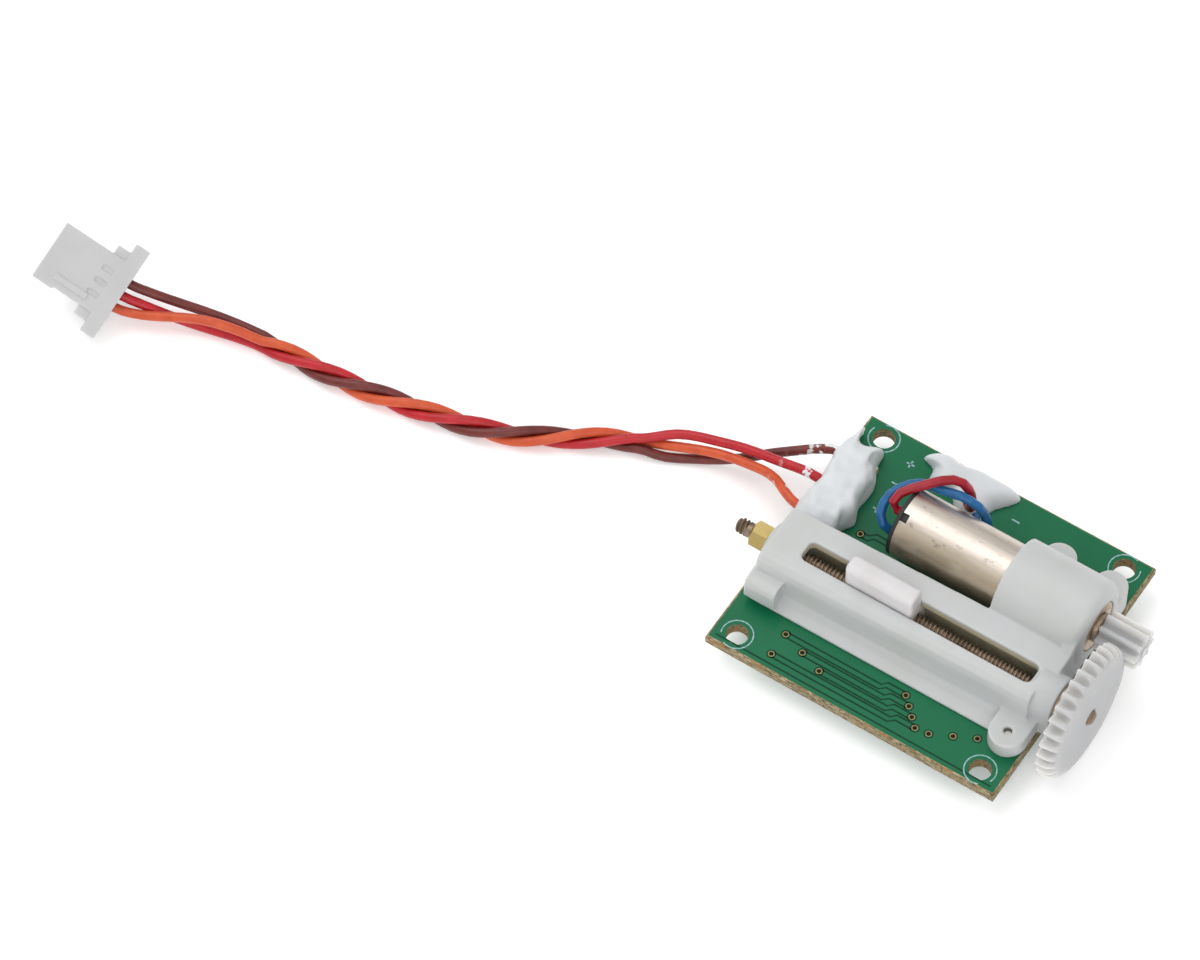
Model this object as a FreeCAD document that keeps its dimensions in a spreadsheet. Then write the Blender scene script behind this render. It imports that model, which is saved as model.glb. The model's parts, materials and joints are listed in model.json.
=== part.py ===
import FreeCAD, Part
import math
import os
import Sketcher
from FreeCAD import Vector

# Micro linear servo on its controller board, with its three-wire lead and plug.
# Millimetres. The origin is the middle of the four board holes on the board's underside.
# +X runs along the lead screw towards its gear, +Y towards the motor, +Z is up.

SIZES = {
    # circuit board
    "board_length": 18.66,
    "board_width": 17.46,
    "board_thick": 0.8,
    "board_bevel": 0.13,
    "board_hole_radius": 0.655,
    "hole_span_x": 15.76,
    "hole_span_y": 15.42,
    # lead screw and what turns with it
    "screw_y": -2.6,
    "screw_z": 2.735,
    "screw_radius": 0.475,
    "screw_left": -11.15,
    "screw_right": 11.95,
    "nut_corner_radius": 0.87,
    "nut_left": -10.1,
    "nut_right": -9.0,
    "nut_chamfer": 0.26,
    "gear_left": 10.56,
    "gear_right": 11.72,
    "gear_rim_round": 0.72,
    "gear_hub_radius": 1.2,
    "gear_hub_left": 10.36,
    "collar_radius": 1.0,
    "collar_left": 10.16,
    # gear pair
    "gear_module": 0.25,
    "gear_teeth": 31,
    "pinion_teeth": 8,
    "pressure_angle": 25,
    "gear_tip_radius": 4.09,
    "pinion_tip_radius": 1.2,
    "tip_clearance": 0.05,
    "flank_clearance": 0.025,
    # servo frame: rail, slot and feet
    "rail_left": -8.75,
    "rail_right": 8.6,
    "rail_half_width": 1.98,
    "rail_skew": 0.43,
    "rail_top": 3.95,
    "rail_shoulder": 0.75,
    "foot_depth": 0.8,
    "foot_rise": 0.5,
    "stop_left": -8.85,
    "stop_length": 1.95,
    "stop_depth": 1.02,
    "stop_bottom": 1.3,
    "stop_top": 2.82,
    "slot_left": -6.71,
    "slot_right": 8.08,
    "slot_width": 1.3,
    "slot_corner": 0.32,
    "channel_half_width": 1.2,
    "channel_left": -6.95,
    "channel_right": 8.2,
    "channel_roof": 3.3,
    "nose_radius": 1.85,
    "nose_length": 0.2,
    # servo frame: motor cup, end boss and ears
    "cup_left": 3.78,
    "cup_right": 9.3,
    "cup_radius": 2.6,
    "cup_window_radius": 1.55,
    "cup_wall": 0.22,
    "cup_rim_round": 0.62,
    "end_wall_right": 9.15,
    "boss_radius": 1.38,
    "boss_right": 9.85,
    "ear_radius": 1.1,
    "front_ear_x": 8.15,
    "front_ear_y": -5.35,
    "front_ear_top": 1.95,
    "ear_pilot_radius": 0.25,
    "rear_ear_radius": 1.0,
    "rear_ear_y": 5.35,
    "rear_ear_left_x": 4.95,
    "rear_ear_right_x": 8.25,
    "rear_ear_top": 2.6,
    "ear_screw_radius": 0.38,
    "ear_screw_grip": 0.85,
    "ear_screw_head": 0.8,
    "bush_radius": 0.8,
    # slider
    "slider_left": -3.93,
    "slider_length": 4.41,
    "slider_top": 5.3,
    "slider_neck_width": 1.24,
    "slider_top_round": 0.42,
    "slider_left_round": 0.4,
    "slider_right_round": 0.2,
    "slider_foot_width": 2.24,
    "slider_foot_bottom": 1.25,
    "slider_foot_top": 3.25,
    # motor
    "motor_y": 2.2266,
    "motor_z": 3.42,
    "can_radius": 2.05,
    "can_wall": 0.15,
    "can_left": -3.0,
    "can_right": 9.06,
    "can_front_round": 0.22,
    "can_notch_width": 0.5,
    "can_notch_depth": 0.4,
    "cap_flange_thick": 0.24,
    "can_notch_angle": 115,
    "motor_boss_radius": 0.9,
    "motor_boss_right": 9.5,
    "motor_flange_radius": 1.5,
    "motor_flange_right": 9.24,
    "motor_groove_radius": 0.78,
    "motor_groove_right": 9.32,
    "rear_bush_radius": 0.5,
    "motor_shaft_radius": 0.3,
    "motor_shaft_right": 12.22,
    "pinion_left": 9.6,
    "pinion_right": 12.2,
    # solder, wires and plug
    "solder_foot_radius": 0.55,
    "solder_top_radius": 0.3,
    "solder_height": 0.35,
    "lead_wire_radius": 0.29,
    "motor_wire_radius": 0.28,
    "strand_radius": 0.37,
    "twist_length": 8.9,
    "plug_pitch": 0.8,
    "plug_width": 3.54,
    "plug_height": 2.0,
    "plug_length": 4.9,
    "plug_flange_width": 5.9,
    "plug_flange_length": 0.92,
    "plug_flange_height": 1.1,
    "plug_tab_width": 4.65,
    "plug_tab_length": 0.82,
    "plug_rib_length": 1.35,
    "plug_rib_depth": 0.13,
    "plug_dimple_depth": 0.08,
    "plug_rear_x": -49.76,
    "plug_rear_y": -7.64,
    "plug_rear_z": 0.3,
    "plug_yaw": 5.9,
    "plug_pitch_down": 21.3,
    "plug_roll": 27.6,
    # running and seating clearances
    "running_gap": 0.03,
    "seat_gap": 0.01,
}

document = FreeCAD.newDocument("linear_servo")
sheet = document.addObject("Spreadsheet::Sheet", "sizes")
for row, (alias, value) in enumerate(SIZES.items(), start=1):
    sheet.set(f"A{row}", alias)
    sheet.set(f"B{row}", str(value))
    sheet.setAlias(f"B{row}", alias)
document.recompute()


class Size:
    """A number together with the spreadsheet formula it comes from."""

    def __init__(self, formula, number):
        self.formula = formula
        self.number = number

    def _join(self, other, sign, number):
        return Size(f"({self.formula} {sign} {other.formula})", number)

    def __add__(self, other):
        other = as_size(other)
        return self._join(other, "+", self.number + other.number)

    def __sub__(self, other):
        other = as_size(other)
        return self._join(other, "-", self.number - other.number)

    def __mul__(self, other):
        other = as_size(other)
        return self._join(other, "*", self.number * other.number)

    def __truediv__(self, other):
        other = as_size(other)
        return self._join(other, "/", self.number / other.number)

    def __neg__(self):
        return Size(f"(0 - {self.formula})", -self.number)


def as_size(value):
    """Give a plain number the same form as a size from the sheet."""
    if isinstance(value, Size):
        return value
    return Size(f"({float(value)})", float(value))


def cell(alias):
    """Read one size from the spreadsheet."""
    return Size(f"sizes.{alias}", float(sheet.get(alias)))


def number(alias):
    """Read one size from the spreadsheet as a plain number."""
    return float(sheet.get(alias))


def bind(thing, name, value):
    """Tie one property of an object to its spreadsheet formula."""
    thing.setExpression(name, as_size(value).formula)


def place(thing, x, y, z):
    """Tie the position of an object to spreadsheet formulas."""
    bind(thing, "Placement.Base.x", x)
    bind(thing, "Placement.Base.y", y)
    bind(thing, "Placement.Base.z", z)


# ---------------------------------------------------------------- primitives

ALONG_X = FreeCAD.Rotation(Vector(0, 1, 0), 90)
ALONG_Z = FreeCAD.Rotation()


def add_box(name, low, high):
    """Box between two corners, each given as three sizes."""
    thing = document.addObject("Part::Box", name)
    for prop, start, stop in zip(("Length", "Width", "Height"), low, high):
        bind(thing, prop, as_size(stop) - start)
    place(thing, *low)
    return thing


def add_rod(name, radius, start, length, rotation=ALONG_X):
    """Cylinder that begins at start and runs along the rotated Z axis."""
    thing = document.addObject("Part::Cylinder", name)
    thing.Placement.Rotation = rotation
    bind(thing, "Radius", radius)
    bind(thing, "Height", length)
    place(thing, *start)
    return thing


def add_cone(name, radius_1, radius_2, start, length):
    """Cone along X from radius_1 at start to radius_2."""
    thing = document.addObject("Part::Cone", name)
    thing.Placement.Rotation = ALONG_X
    bind(thing, "Radius1", radius_1)
    bind(thing, "Radius2", radius_2)
    bind(thing, "Height", length)
    place(thing, *start)
    return thing


def add_prism(name, corner_radius, start, length, turn):
    """Hexagonal prism along X with one corner turned by an angle about X."""
    thing = document.addObject("Part::Prism", name)
    thing.Polygon = 6
    spin = FreeCAD.Rotation(Vector(1, 0, 0), turn)
    thing.Placement.Rotation = spin.multiply(ALONG_X)
    bind(thing, "Circumradius", corner_radius)
    bind(thing, "Height", length)
    place(thing, *start)
    return thing


def fuse(name, pieces):
    """Union of several objects."""
    thing = document.addObject("Part::MultiFuse", name)
    thing.Shapes = pieces
    thing.Refine = True
    return thing


def cut(name, base, tool):
    """One object minus another."""
    thing = document.addObject("Part::Cut", name)
    thing.Base = base
    thing.Tool = tool
    return thing


def common(name, base, tool):
    """Overlap of two objects."""
    thing = document.addObject("Part::Common", name)
    thing.Base = base
    thing.Tool = tool
    return thing


def group(name, pieces):
    """Several separate solids kept as one part."""
    thing = document.addObject("Part::Compound", name)
    thing.Links = pieces
    return thing


def coded(name, shape):
    """A shape that only code can make, such as gear teeth or a twisted wire."""
    thing = document.addObject("Part::Feature", name)
    thing.Shape = shape
    return thing


# ---------------------------------------------------------------- sketches and bodies

def add_body(name):
    return document.addObject("PartDesign::Body", name)


def origin_plane(body, role):
    return next(item for item in body.Origin.OriginFeatures if item.Role == role)


def add_sketch(body, name, role, offset):
    """Sketch on one of the body's own planes, moved along the plane's normal."""
    sketch = body.newObject("Sketcher::SketchObject", name)
    sketch.AttachmentSupport = (origin_plane(body, role), [""])
    sketch.MapMode = "FlatFace"
    bind(sketch, "AttachmentOffset.Base.z", offset)
    return sketch


def pin_point(sketch, line, end, place_xy):
    """Hold one sketch point at two sizes measured from the origin."""
    for kind, value in zip(("DistanceX", "DistanceY"), place_xy):
        value = as_size(value)
        index = sketch.addConstraint(Sketcher.Constraint(kind, line, end, value.number))
        sketch.setExpression(f"Constraints[{index}]", value.formula)


def draw_polygon(sketch, corners):
    """Closed outline of straight lines through the corners."""
    points = [Vector(as_size(x).number, as_size(y).number, 0) for x, y in corners]
    first = sketch.GeometryCount
    count = len(points)
    for index in range(count):
        after = points[(index + 1) % count]
        sketch.addGeometry(Part.LineSegment(points[index], after), False)
    for index in range(count):
        follower = first + (index + 1) % count
        sketch.addConstraint(Sketcher.Constraint("Coincident", first + index, 2, follower, 1))
    for index, corner in enumerate(corners):
        pin_point(sketch, first + index, 1, corner)


def draw_rectangle(sketch, low, high):
    draw_polygon(sketch, [low, (high[0], low[1]), high, (low[0], high[1])])


def draw_rounded_rectangle(sketch, low, high, radius):
    """Rectangle whose corners are rounded with short straight steps."""
    corners = []
    middles = [
        (high[0], high[1], 0), (low[0], high[1], 90), (low[0], low[1], 180), (high[0], low[1], 270),
    ]
    for x, y, start in middles:
        inward_x = -1 if start in (0, 270) else 1
        inward_y = -1 if start in (0, 90) else 1
        for step in (0, 30, 60, 90):
            angle = math.radians(start + step)
            corners.append((
                as_size(x) + radius * (inward_x + math.cos(angle)),
                as_size(y) + radius * (inward_y + math.sin(angle)),
            ))
    draw_polygon(sketch, corners)


def draw_circle(sketch, centre, radius):
    """Circle with its centre and radius tied to the sheet."""
    radius = as_size(radius)
    middle = Vector(as_size(centre[0]).number, as_size(centre[1]).number, 0)
    line = sketch.addGeometry(Part.Circle(middle, Vector(0, 0, 1), radius.number), False)
    pin_point(sketch, line, 3, centre)
    index = sketch.addConstraint(Sketcher.Constraint("Radius", line, radius.number))
    sketch.setExpression(f"Constraints[{index}]", radius.formula)


def pad(body, sketch, length):
    feature = body.newObject("PartDesign::Pad", f"{sketch.Name}_pad")
    feature.Profile = sketch
    bind(feature, "Length", length)
    return feature


def pocket(body, sketch, length):
    """Cut along the sketch plane's normal, in its positive direction."""
    feature = body.newObject("PartDesign::Pocket", f"{sketch.Name}_pocket")
    feature.Profile = sketch
    feature.Reversed = True
    bind(feature, "Length", length)
    return feature


def edges_along(feature, keep):
    """Names of the edges for which keep(edge) is true."""
    return [f"Edge{i}" for i, edge in enumerate(feature.Shape.Edges, start=1) if keep(edge)]


def dress(body, kind, name, base, edges, size):
    """Fillet or chamfer on chosen edges of the last feature."""
    feature = body.newObject(f"PartDesign::{kind}", name)
    feature.Base = (base, edges)
    bind(feature, "Radius" if kind == "Fillet" else "Size", size)
    return feature


# ---------------------------------------------------------------- derived places

board_top = cell("board_thick")
screw_y = cell("screw_y")
screw_z = cell("screw_z")
motor_y = cell("motor_y")
motor_z = cell("motor_z")
gap = cell("running_gap")
seat = cell("seat_gap")


# ---------------------------------------------------------------- circuit board

def make_circuit_board():
    """Bevelled board with a mounting hole near each corner."""
    body = add_body("circuit_board")
    sketch = add_sketch(body, "board_outline", "XY_Plane", 0)
    half_x = cell("board_length") / 2
    half_y = cell("board_width") / 2
    draw_rectangle(sketch, (-half_x, -half_y), (half_x, half_y))
    for side_x in (-1, 1):
        for side_y in (-1, 1):
            centre = (cell("hole_span_x") / 2 * side_x, cell("hole_span_y") / 2 * side_y)
            draw_circle(sketch, centre, cell("board_hole_radius"))
    for centre in ear_centres():
        draw_circle(sketch, centre, cell("ear_screw_radius") + 0.05)
    plate = pad(body, sketch, board_top)
    document.recompute()
    rim = edges_along(plate, lambda edge: edge.Length > 10 and abs(edge.tangentAt(0).z) < 0.5)
    dress(body, "Chamfer", "board_bevels", plate, rim, cell("board_bevel"))
    return body


def make_resistive_track():
    """Carbon strip and collector strip printed on the board under the slider."""
    strips = []
    for name, offset in (("carbon_strip", -0.55), ("collector_strip", 0.55)):
        middle = screw_y + offset
        low = (cell("channel_left") + 0.1, middle - 0.3, board_top)
        high = (cell("channel_right") - 0.1, middle + 0.3, board_top + 0.03)
        strips.append(add_box(name, low, high))
    return group("resistive_track", strips)


CHIP_STANDOFF = 0.08
CHIP_BEVEL = 0.1
LEG_THICK = 0.12
LEG_WIDTH = 0.26
LEG_KNEE = 0.25
LEG_TOE = 0.55


def make_chip(name, centre_x, centre_y, length, width, height):
    """Moulded package under the board, with a bevel round its lower face."""
    body = add_body(name)
    sketch = add_sketch(body, f"{name}_outline", "XY_Plane", -height - CHIP_STANDOFF)
    low = (centre_x - length / 2, centre_y - width / 2)
    high = (centre_x + length / 2, centre_y + width / 2)
    draw_rectangle(sketch, low, high)
    block = pad(body, sketch, height)
    document.recompute()
    bottom = -height - CHIP_STANDOFF
    rim = edges_along(block, lambda edge: abs(edge.BoundBox.ZMax - bottom) < 0.01)
    dress(body, "Chamfer", f"{name}_bevel", block, rim, CHIP_BEVEL)
    return body


def make_legs(name, centre_x, centre_y, length, width, height, count):
    """Two rows of bent legs, each leg one solid, from the package to its pad."""
    legs = []
    pitch = length / count
    middle = -CHIP_STANDOFF - height / 2
    for side in (-1, 1):
        for index in range(count):
            x = centre_x + pitch * (index - (count - 1) / 2)
            root = centre_y + side * width / 2
            toe = root + side * LEG_TOE
            knee = root + side * LEG_KNEE
            points = [
                Vector(x, root, middle), Vector(x, knee, middle),
                Vector(x, knee, -LEG_THICK), Vector(x, toe, -LEG_THICK),
                Vector(x, toe, 0), Vector(x, knee - side * LEG_THICK, 0),
                Vector(x, knee - side * LEG_THICK, middle + LEG_THICK),
                Vector(x, root, middle + LEG_THICK),
            ]
            face = Part.Face(Part.makePolygon(points + points[:1]))
            face.translate(Vector(-LEG_WIDTH / 2, 0, 0))
            legs.append(face.extrude(Vector(LEG_WIDTH, 0, 0)))
    return coded(name, Part.makeCompound(legs))


# centre x, centre y, length, width, height of each moulded package; legs on each side
PACKAGES = {
    "controller": (-2.5, 1.2, 3.0, 3.0, 0.75, 4),
    "motor_driver": (3.6, 2.4, 2.9, 1.6, 0.75, 3),
}
# centre x, centre y, length, width, height, and whether it sits on the board's upper face
CAPACITORS = [
    (-7.45, 5.35, 1.0, 0.5, 0.5, True),
    (0.6, -4.2, 1.6, 0.8, 0.8, False),
    (-6.2, -3.2, 1.0, 0.5, 0.5, False),
    (6.4, -2.0, 1.0, 0.5, 0.5, False),
]
RESISTORS = [
    (-6.0, 4.4, 1.0, 0.5, 0.35, False),
    (3.4, -4.4, 1.0, 0.5, 0.35, False),
    (-3.6, -4.6, 1.0, 0.5, 0.35, False),
]


def make_passives(name, items):
    """Small two-ended ceramic parts, one block each."""
    bodies = []
    for index, (x, y, length, width, height, on_top) in enumerate(items):
        low_z = board_top if on_top else as_size(-height)
        low = (x - length / 2, y - width / 2, low_z)
        high = (x + length / 2, y + width / 2, low_z + height)
        block = add_box(f"{name}_block_{index}", low, high)
        bodies.append(block)
    return group(name, bodies)


# three pads for the lead and two for the motor
WIRE_PADS = [(-8.45, 5.25), (-8.45, 3.05), (-8.45, 0.95), (-3.6, 7.6), (-0.7, 7.4)]


def make_solder_joints():
    """Solder cones on the cable pads and the motor pads."""
    cones = []
    for index, (x, y) in enumerate(WIRE_PADS):
        cone = document.addObject("Part::Cone", f"solder_cone_{index}")
        bind(cone, "Radius1", cell("solder_foot_radius"))
        bind(cone, "Radius2", cell("solder_top_radius"))
        bind(cone, "Height", cell("solder_height"))
        place(cone, x, y, board_top)
        cones.append(cone)
    return group("solder_joints", cones)


# ---------------------------------------------------------------- servo frame

def add_rail(body):
    """Rail lofted between its two end sections; its walls lean slightly off the screw's line.

    The front wall flares out into a foot that stays parallel to the screw.
    """
    ends = []
    for name, x, shift in (("rail_start", "rail_left", 0), ("rail_end", "rail_right", 1)):
        sketch = add_sketch(body, name, "YZ_Plane", cell(x))
        middle = screw_y + cell("rail_skew") * shift
        front = middle - cell("rail_half_width")
        rear = middle + cell("rail_half_width")
        top = cell("rail_top")
        drop = cell("rail_shoulder")
        rise = cell("foot_rise")
        toe = screw_y - cell("rail_half_width") - cell("foot_depth")
        spread = toe - front
        corners = [
            (rear, board_top), (rear, top), (front + drop * 1.25, top),
            (front + drop * 0.52, top - drop * 0.13), (front + drop * 0.14, top - drop * 0.5),
            (front, top - drop * 1.15), (front - 0.02, board_top + rise * 3),
            (front + spread * 0.12, board_top + rise * 1.9), (front + spread * 0.45, board_top + rise),
            (toe, board_top + rise * 0.4), (toe, board_top),
        ]
        draw_polygon(sketch, corners)
        ends.append(sketch)
    loft = body.newObject("PartDesign::AdditiveLoft", "rail_loft")
    loft.Profile = ends[0]
    loft.Sections = [ends[1]]
    loft.Ruled = True
    return loft


def add_stop(body):
    """Square stop at the left end of the rail's front wall."""
    front = screw_y - cell("rail_half_width")
    sketch = add_sketch(body, "stop_profile", "YZ_Plane", cell("stop_left"))
    outer = front - cell("stop_depth")
    top = cell("stop_top")
    corners = [
        (front + 0.2, cell("stop_bottom")), (front + 0.2, top), (outer + 0.45, top),
        (outer + 0.12, top - 0.17), (outer, top - 0.5), (outer, cell("stop_bottom")),
    ]
    draw_polygon(sketch, corners)
    pad(body, sketch, cell("stop_length"))


def add_bosses(body):
    """Round boss at the gear end of the rail and low nose at the nut end."""
    sketch = add_sketch(body, "boss_round", "YZ_Plane", cell("rail_right") - 0.3)
    draw_circle(sketch, (screw_y, screw_z), cell("boss_radius"))
    pad(body, sketch, cell("boss_right") - cell("rail_right") + 0.3)
    sketch = add_sketch(body, "boss_pedestal", "YZ_Plane", cell("rail_right") - 0.3)
    half = cell("boss_radius")
    draw_rectangle(sketch, (screw_y - half, board_top), (screw_y + half, screw_z))
    pad(body, sketch, cell("boss_right") - cell("rail_right") + 0.3)
    sketch = add_sketch(body, "nose_round", "YZ_Plane", cell("rail_left") - cell("nose_length"))
    draw_circle(sketch, (screw_y, screw_z - 0.45), cell("nose_radius") * 0.8)
    pad(body, sketch, cell("nose_length") + 0.2)


def add_motor_cup(body):
    """Sleeve round the front half of the motor, with webs down to the board."""
    length = cell("cup_right") - cell("cup_left")
    sketch = add_sketch(body, "cup_round", "YZ_Plane", cell("cup_left"))
    draw_circle(sketch, (motor_y, motor_z), cell("cup_radius"))
    sleeve = pad(body, sketch, length)
    document.recompute()
    front = number("cup_right") - 0.01
    middle = number("motor_y") - number("cup_radius") - 0.1

    def free_rim(edge):
        return edge.BoundBox.XMin > front and edge.BoundBox.XMax < front + 0.1 and edge.BoundBox.YMin > middle

    dress(body, "Fillet", "cup_rim", sleeve, edges_along(sleeve, free_rim), cell("cup_rim_round"))
    length = cell("end_wall_right") - cell("cup_left")
    sketch = add_sketch(body, "cup_web", "YZ_Plane", cell("cup_left"))
    draw_rectangle(sketch, (screw_y + 1.9, board_top), (motor_y, motor_z))
    pad(body, sketch, length)
    sketch = add_sketch(body, "end_wall", "YZ_Plane", cell("rail_right") - 0.2)
    shoulder = screw_y + cell("rail_half_width")
    wall = [
        (screw_y, board_top), (screw_y, cell("rail_top")), (shoulder, cell("rail_top")),
        (motor_y - cell("can_radius"), cell("rail_top") + 0.75), (motor_y, motor_z + 1),
        (motor_y + 1.8, board_top),
    ]
    draw_polygon(sketch, wall)
    pad(body, sketch, cell("end_wall_right") - cell("rail_right") + 0.2)


def add_ears(body):
    """Three screw ears: one in front of the rail, two behind the motor cup."""
    sketch = add_sketch(body, "front_ear", "XY_Plane", board_top)
    centre = (cell("front_ear_x"), cell("front_ear_y"))
    draw_circle(sketch, centre, cell("ear_radius"))
    pad(body, sketch, cell("front_ear_top") - board_top)
    sketch = add_sketch(body, "front_ear_web", "XY_Plane", board_top)
    low = (centre[0] - cell("ear_radius"), centre[1])
    high = (centre[0] + cell("ear_radius"), screw_y - 1.2)
    draw_rectangle(sketch, low, high)
    pad(body, sketch, cell("front_ear_top") - board_top)
    for name, alias in (("rear_ear_left", "rear_ear_left_x"), ("rear_ear_right", "rear_ear_right_x")):
        sketch = add_sketch(body, name, "XY_Plane", board_top)
        centre = (cell(alias), cell("rear_ear_y"))
        draw_circle(sketch, centre, cell("rear_ear_radius"))
        pad(body, sketch, cell("rear_ear_top") - board_top)
        sketch = add_sketch(body, f"{name}_web", "XY_Plane", board_top)
        low = (centre[0] - cell("rear_ear_radius"), motor_y + 1.0)
        high = (centre[0] + cell("rear_ear_radius"), centre[1])
        draw_rectangle(sketch, low, high)
        pad(body, sketch, cell("rear_ear_top") - board_top)


def ear_centres():
    """Middle of each screw ear."""
    return [
        (cell("front_ear_x"), cell("front_ear_y")),
        (cell("rear_ear_left_x"), cell("rear_ear_y")),
        (cell("rear_ear_right_x"), cell("rear_ear_y")),
    ]


def hollow_rail(body):
    """Channel, slot, screw holes and bush seat."""
    half = cell("channel_half_width")
    sketch = add_sketch(body, "channel", "XY_Plane", 0)
    low = (cell("channel_left"), screw_y - half)
    high = (cell("channel_right"), screw_y + half)
    draw_rectangle(sketch, low, high)
    pocket(body, sketch, cell("channel_roof"))
    half = cell("slot_width") / 2
    sketch = add_sketch(body, "slot", "XY_Plane", board_top)
    low = (cell("slot_left"), screw_y - half)
    high = (cell("slot_right"), screw_y + half)
    draw_rounded_rectangle(sketch, low, high, cell("slot_corner"))
    pocket(body, sketch, cell("rail_top"))
    sketch = add_sketch(body, "screw_hole", "YZ_Plane", cell("rail_left") - 1)
    draw_circle(sketch, (screw_y, screw_z), cell("screw_radius") + gap)
    pocket(body, sketch, as_size(3))
    sketch = add_sketch(body, "bush_seat", "YZ_Plane", cell("channel_right") - 0.5)
    draw_circle(sketch, (screw_y, screw_z), cell("bush_radius") + seat)
    pocket(body, sketch, as_size(3))


def hollow_cup(body):
    """Motor bore, window in the end wall and blind holes for the board screws."""
    sketch = add_sketch(body, "motor_bore", "YZ_Plane", cell("cup_left") - 0.5)
    draw_circle(sketch, (motor_y, motor_z), cell("can_radius") + seat)
    depth = cell("cup_right") - cell("cup_wall") - cell("cup_left") + 0.5
    pocket(body, sketch, depth)
    sketch = add_sketch(body, "motor_window", "YZ_Plane", cell("cup_right") - 1)
    draw_circle(sketch, (motor_y, motor_z), cell("cup_window_radius"))
    pocket(body, sketch, as_size(2))
    sketch = add_sketch(body, "ear_holes", "XY_Plane", 0)
    for centre in ear_centres():
        draw_circle(sketch, centre, cell("ear_screw_radius") + seat)
    pocket(body, sketch, board_top + cell("ear_screw_grip"))
    sketch = add_sketch(body, "front_ear_pilot", "XY_Plane", 0)
    draw_circle(sketch, ear_centres()[0], cell("ear_pilot_radius"))
    pocket(body, sketch, cell("front_ear_top") + 0.5)


def make_servo_frame():
    """One moulding: rail, slot, stop, bosses, motor cup and ears."""
    body = add_body("servo_frame")
    add_rail(body)
    add_stop(body)
    add_bosses(body)
    add_motor_cup(body)
    add_ears(body)
    document.recompute()
    solid_volume = body.Shape.Volume
    hollow_rail(body)
    hollow_cup(body)
    document.recompute()
    if body.Shape.Volume > solid_volume - 50:
        raise RuntimeError("the frame's pockets cut nothing")
    return body


# ---------------------------------------------------------------- slider and its contact

def make_slider():
    """Foot that rides in the channel, with a rounded block that stands through the slot."""
    body = add_body("slider")
    right = cell("slider_left") + cell("slider_length")
    sketch = add_sketch(body, "slider_foot", "XY_Plane", cell("slider_foot_bottom"))
    half = cell("slider_foot_width") / 2
    draw_rectangle(sketch, (cell("slider_left"), screw_y - half), (right, screw_y + half))
    pad(body, sketch, cell("slider_foot_top") - cell("slider_foot_bottom"))
    sketch = add_sketch(body, "slider_block", "XY_Plane", cell("slider_foot_top") - 0.2)
    half = cell("slider_neck_width") / 2
    draw_rectangle(sketch, (cell("slider_left"), screw_y - half), (right, screw_y + half))
    neck = pad(body, sketch, cell("slider_top") - cell("slider_foot_top") + 0.2)
    document.recompute()
    top = number("slider_top") - 0.01
    left = number("slider_left")

    def long_top_edge(edge):
        return edge.BoundBox.ZMin > top and edge.BoundBox.XLength > 1

    def end_edge(side):
        return lambda edge: edge.BoundBox.ZMax > number("slider_foot_top") + 0.1 and (
            abs(edge.BoundBox.XMin - side) + abs(edge.BoundBox.XMax - side) < 0.01)

    block = dress(body, "Fillet", "slider_top_edges", neck, edges_along(neck, long_top_edge),
                  cell("slider_top_round"))
    document.recompute()
    block = dress(body, "Fillet", "slider_left_end", block, edges_along(block, end_edge(left)),
                  cell("slider_left_round"))
    document.recompute()
    block = dress(body, "Fillet", "slider_right_end", block, edges_along(block, end_edge(right.number)),
                  cell("slider_right_round"))
    sketch = add_sketch(body, "slider_bore", "YZ_Plane", cell("slider_left") - 1)
    draw_circle(sketch, (screw_y, screw_z), cell("screw_radius") + gap)
    pocket(body, sketch, cell("slider_length") + 2)
    return body


def make_wiper_contact():
    """Sprung leaf under the slider with two fingers that reach down to the strips."""
    leaf = 0.06
    left = number("slider_left") + 0.3
    top = number("slider_foot_bottom") - number("seat_gap")
    low = number("board_thick") + 0.05
    side = [
        (0.6, top), (3.2, top), (3.2, top - leaf), (0.66, top - leaf),
        (0.17, low), (0.05, low), (0.05, low + 0.05),
    ]
    half = 0.9
    start_y = number("screw_y") - half
    corners = [Vector(left + x, start_y, z) for x, z in side]
    face = Part.Face(Part.makePolygon(corners + corners[:1]))
    plate = face.extrude(Vector(0, 2 * half, 0))
    split = Part.makeBox(1.3, 0.5, 1.0, Vector(left - 0.1, start_y + half - 0.25, low - 0.2))
    return coded("wiper_contact", plate.cut(split))


# ---------------------------------------------------------------- lead screw

def make_lead_screw():
    """Threaded rod, drawn at its major diameter, with a rounded tip at each end."""
    length = cell("screw_right") - cell("screw_left")
    rod = add_rod("screw_rod", cell("screw_radius"), (cell("screw_left"), screw_y, screw_z), length)
    document.recompute()
    tips = document.addObject("Part::Fillet", "lead_screw")
    tips.Base = rod
    round_size = 0.2
    ends = [i for i, edge in enumerate(rod.Shape.Edges, start=1) if edge.Curve.TypeId.endswith("Circle")]
    tips.Edges = [(index, round_size, round_size) for index in ends]
    return tips


NUT_TURN = 28


def make_retaining_nut():
    """Hexagonal brass nut with a coned outer end, locked on the screw."""
    length = cell("nut_right") - cell("nut_left")
    start = (cell("nut_left"), screw_y, screw_z)
    prism = add_prism("nut_prism", cell("nut_corner_radius"), start, length, NUT_TURN)
    cone = add_cone("nut_cone", 0.58, cell("nut_corner_radius") + 0.12, start, cell("nut_chamfer"))
    sleeve_start = (cell("nut_left") + cell("nut_chamfer"), screw_y, screw_z)
    sleeve = add_rod("nut_sleeve", cell("nut_corner_radius") + 0.12, sleeve_start, length)
    blank = common("nut_blank", prism, fuse("nut_envelope", [cone, sleeve]))
    hole_start = (cell("nut_left") - 1, screw_y, screw_z)
    hole = add_rod("nut_hole", cell("screw_radius") + seat, hole_start, length + 2)
    return cut("retaining_nut", blank, hole)


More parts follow.
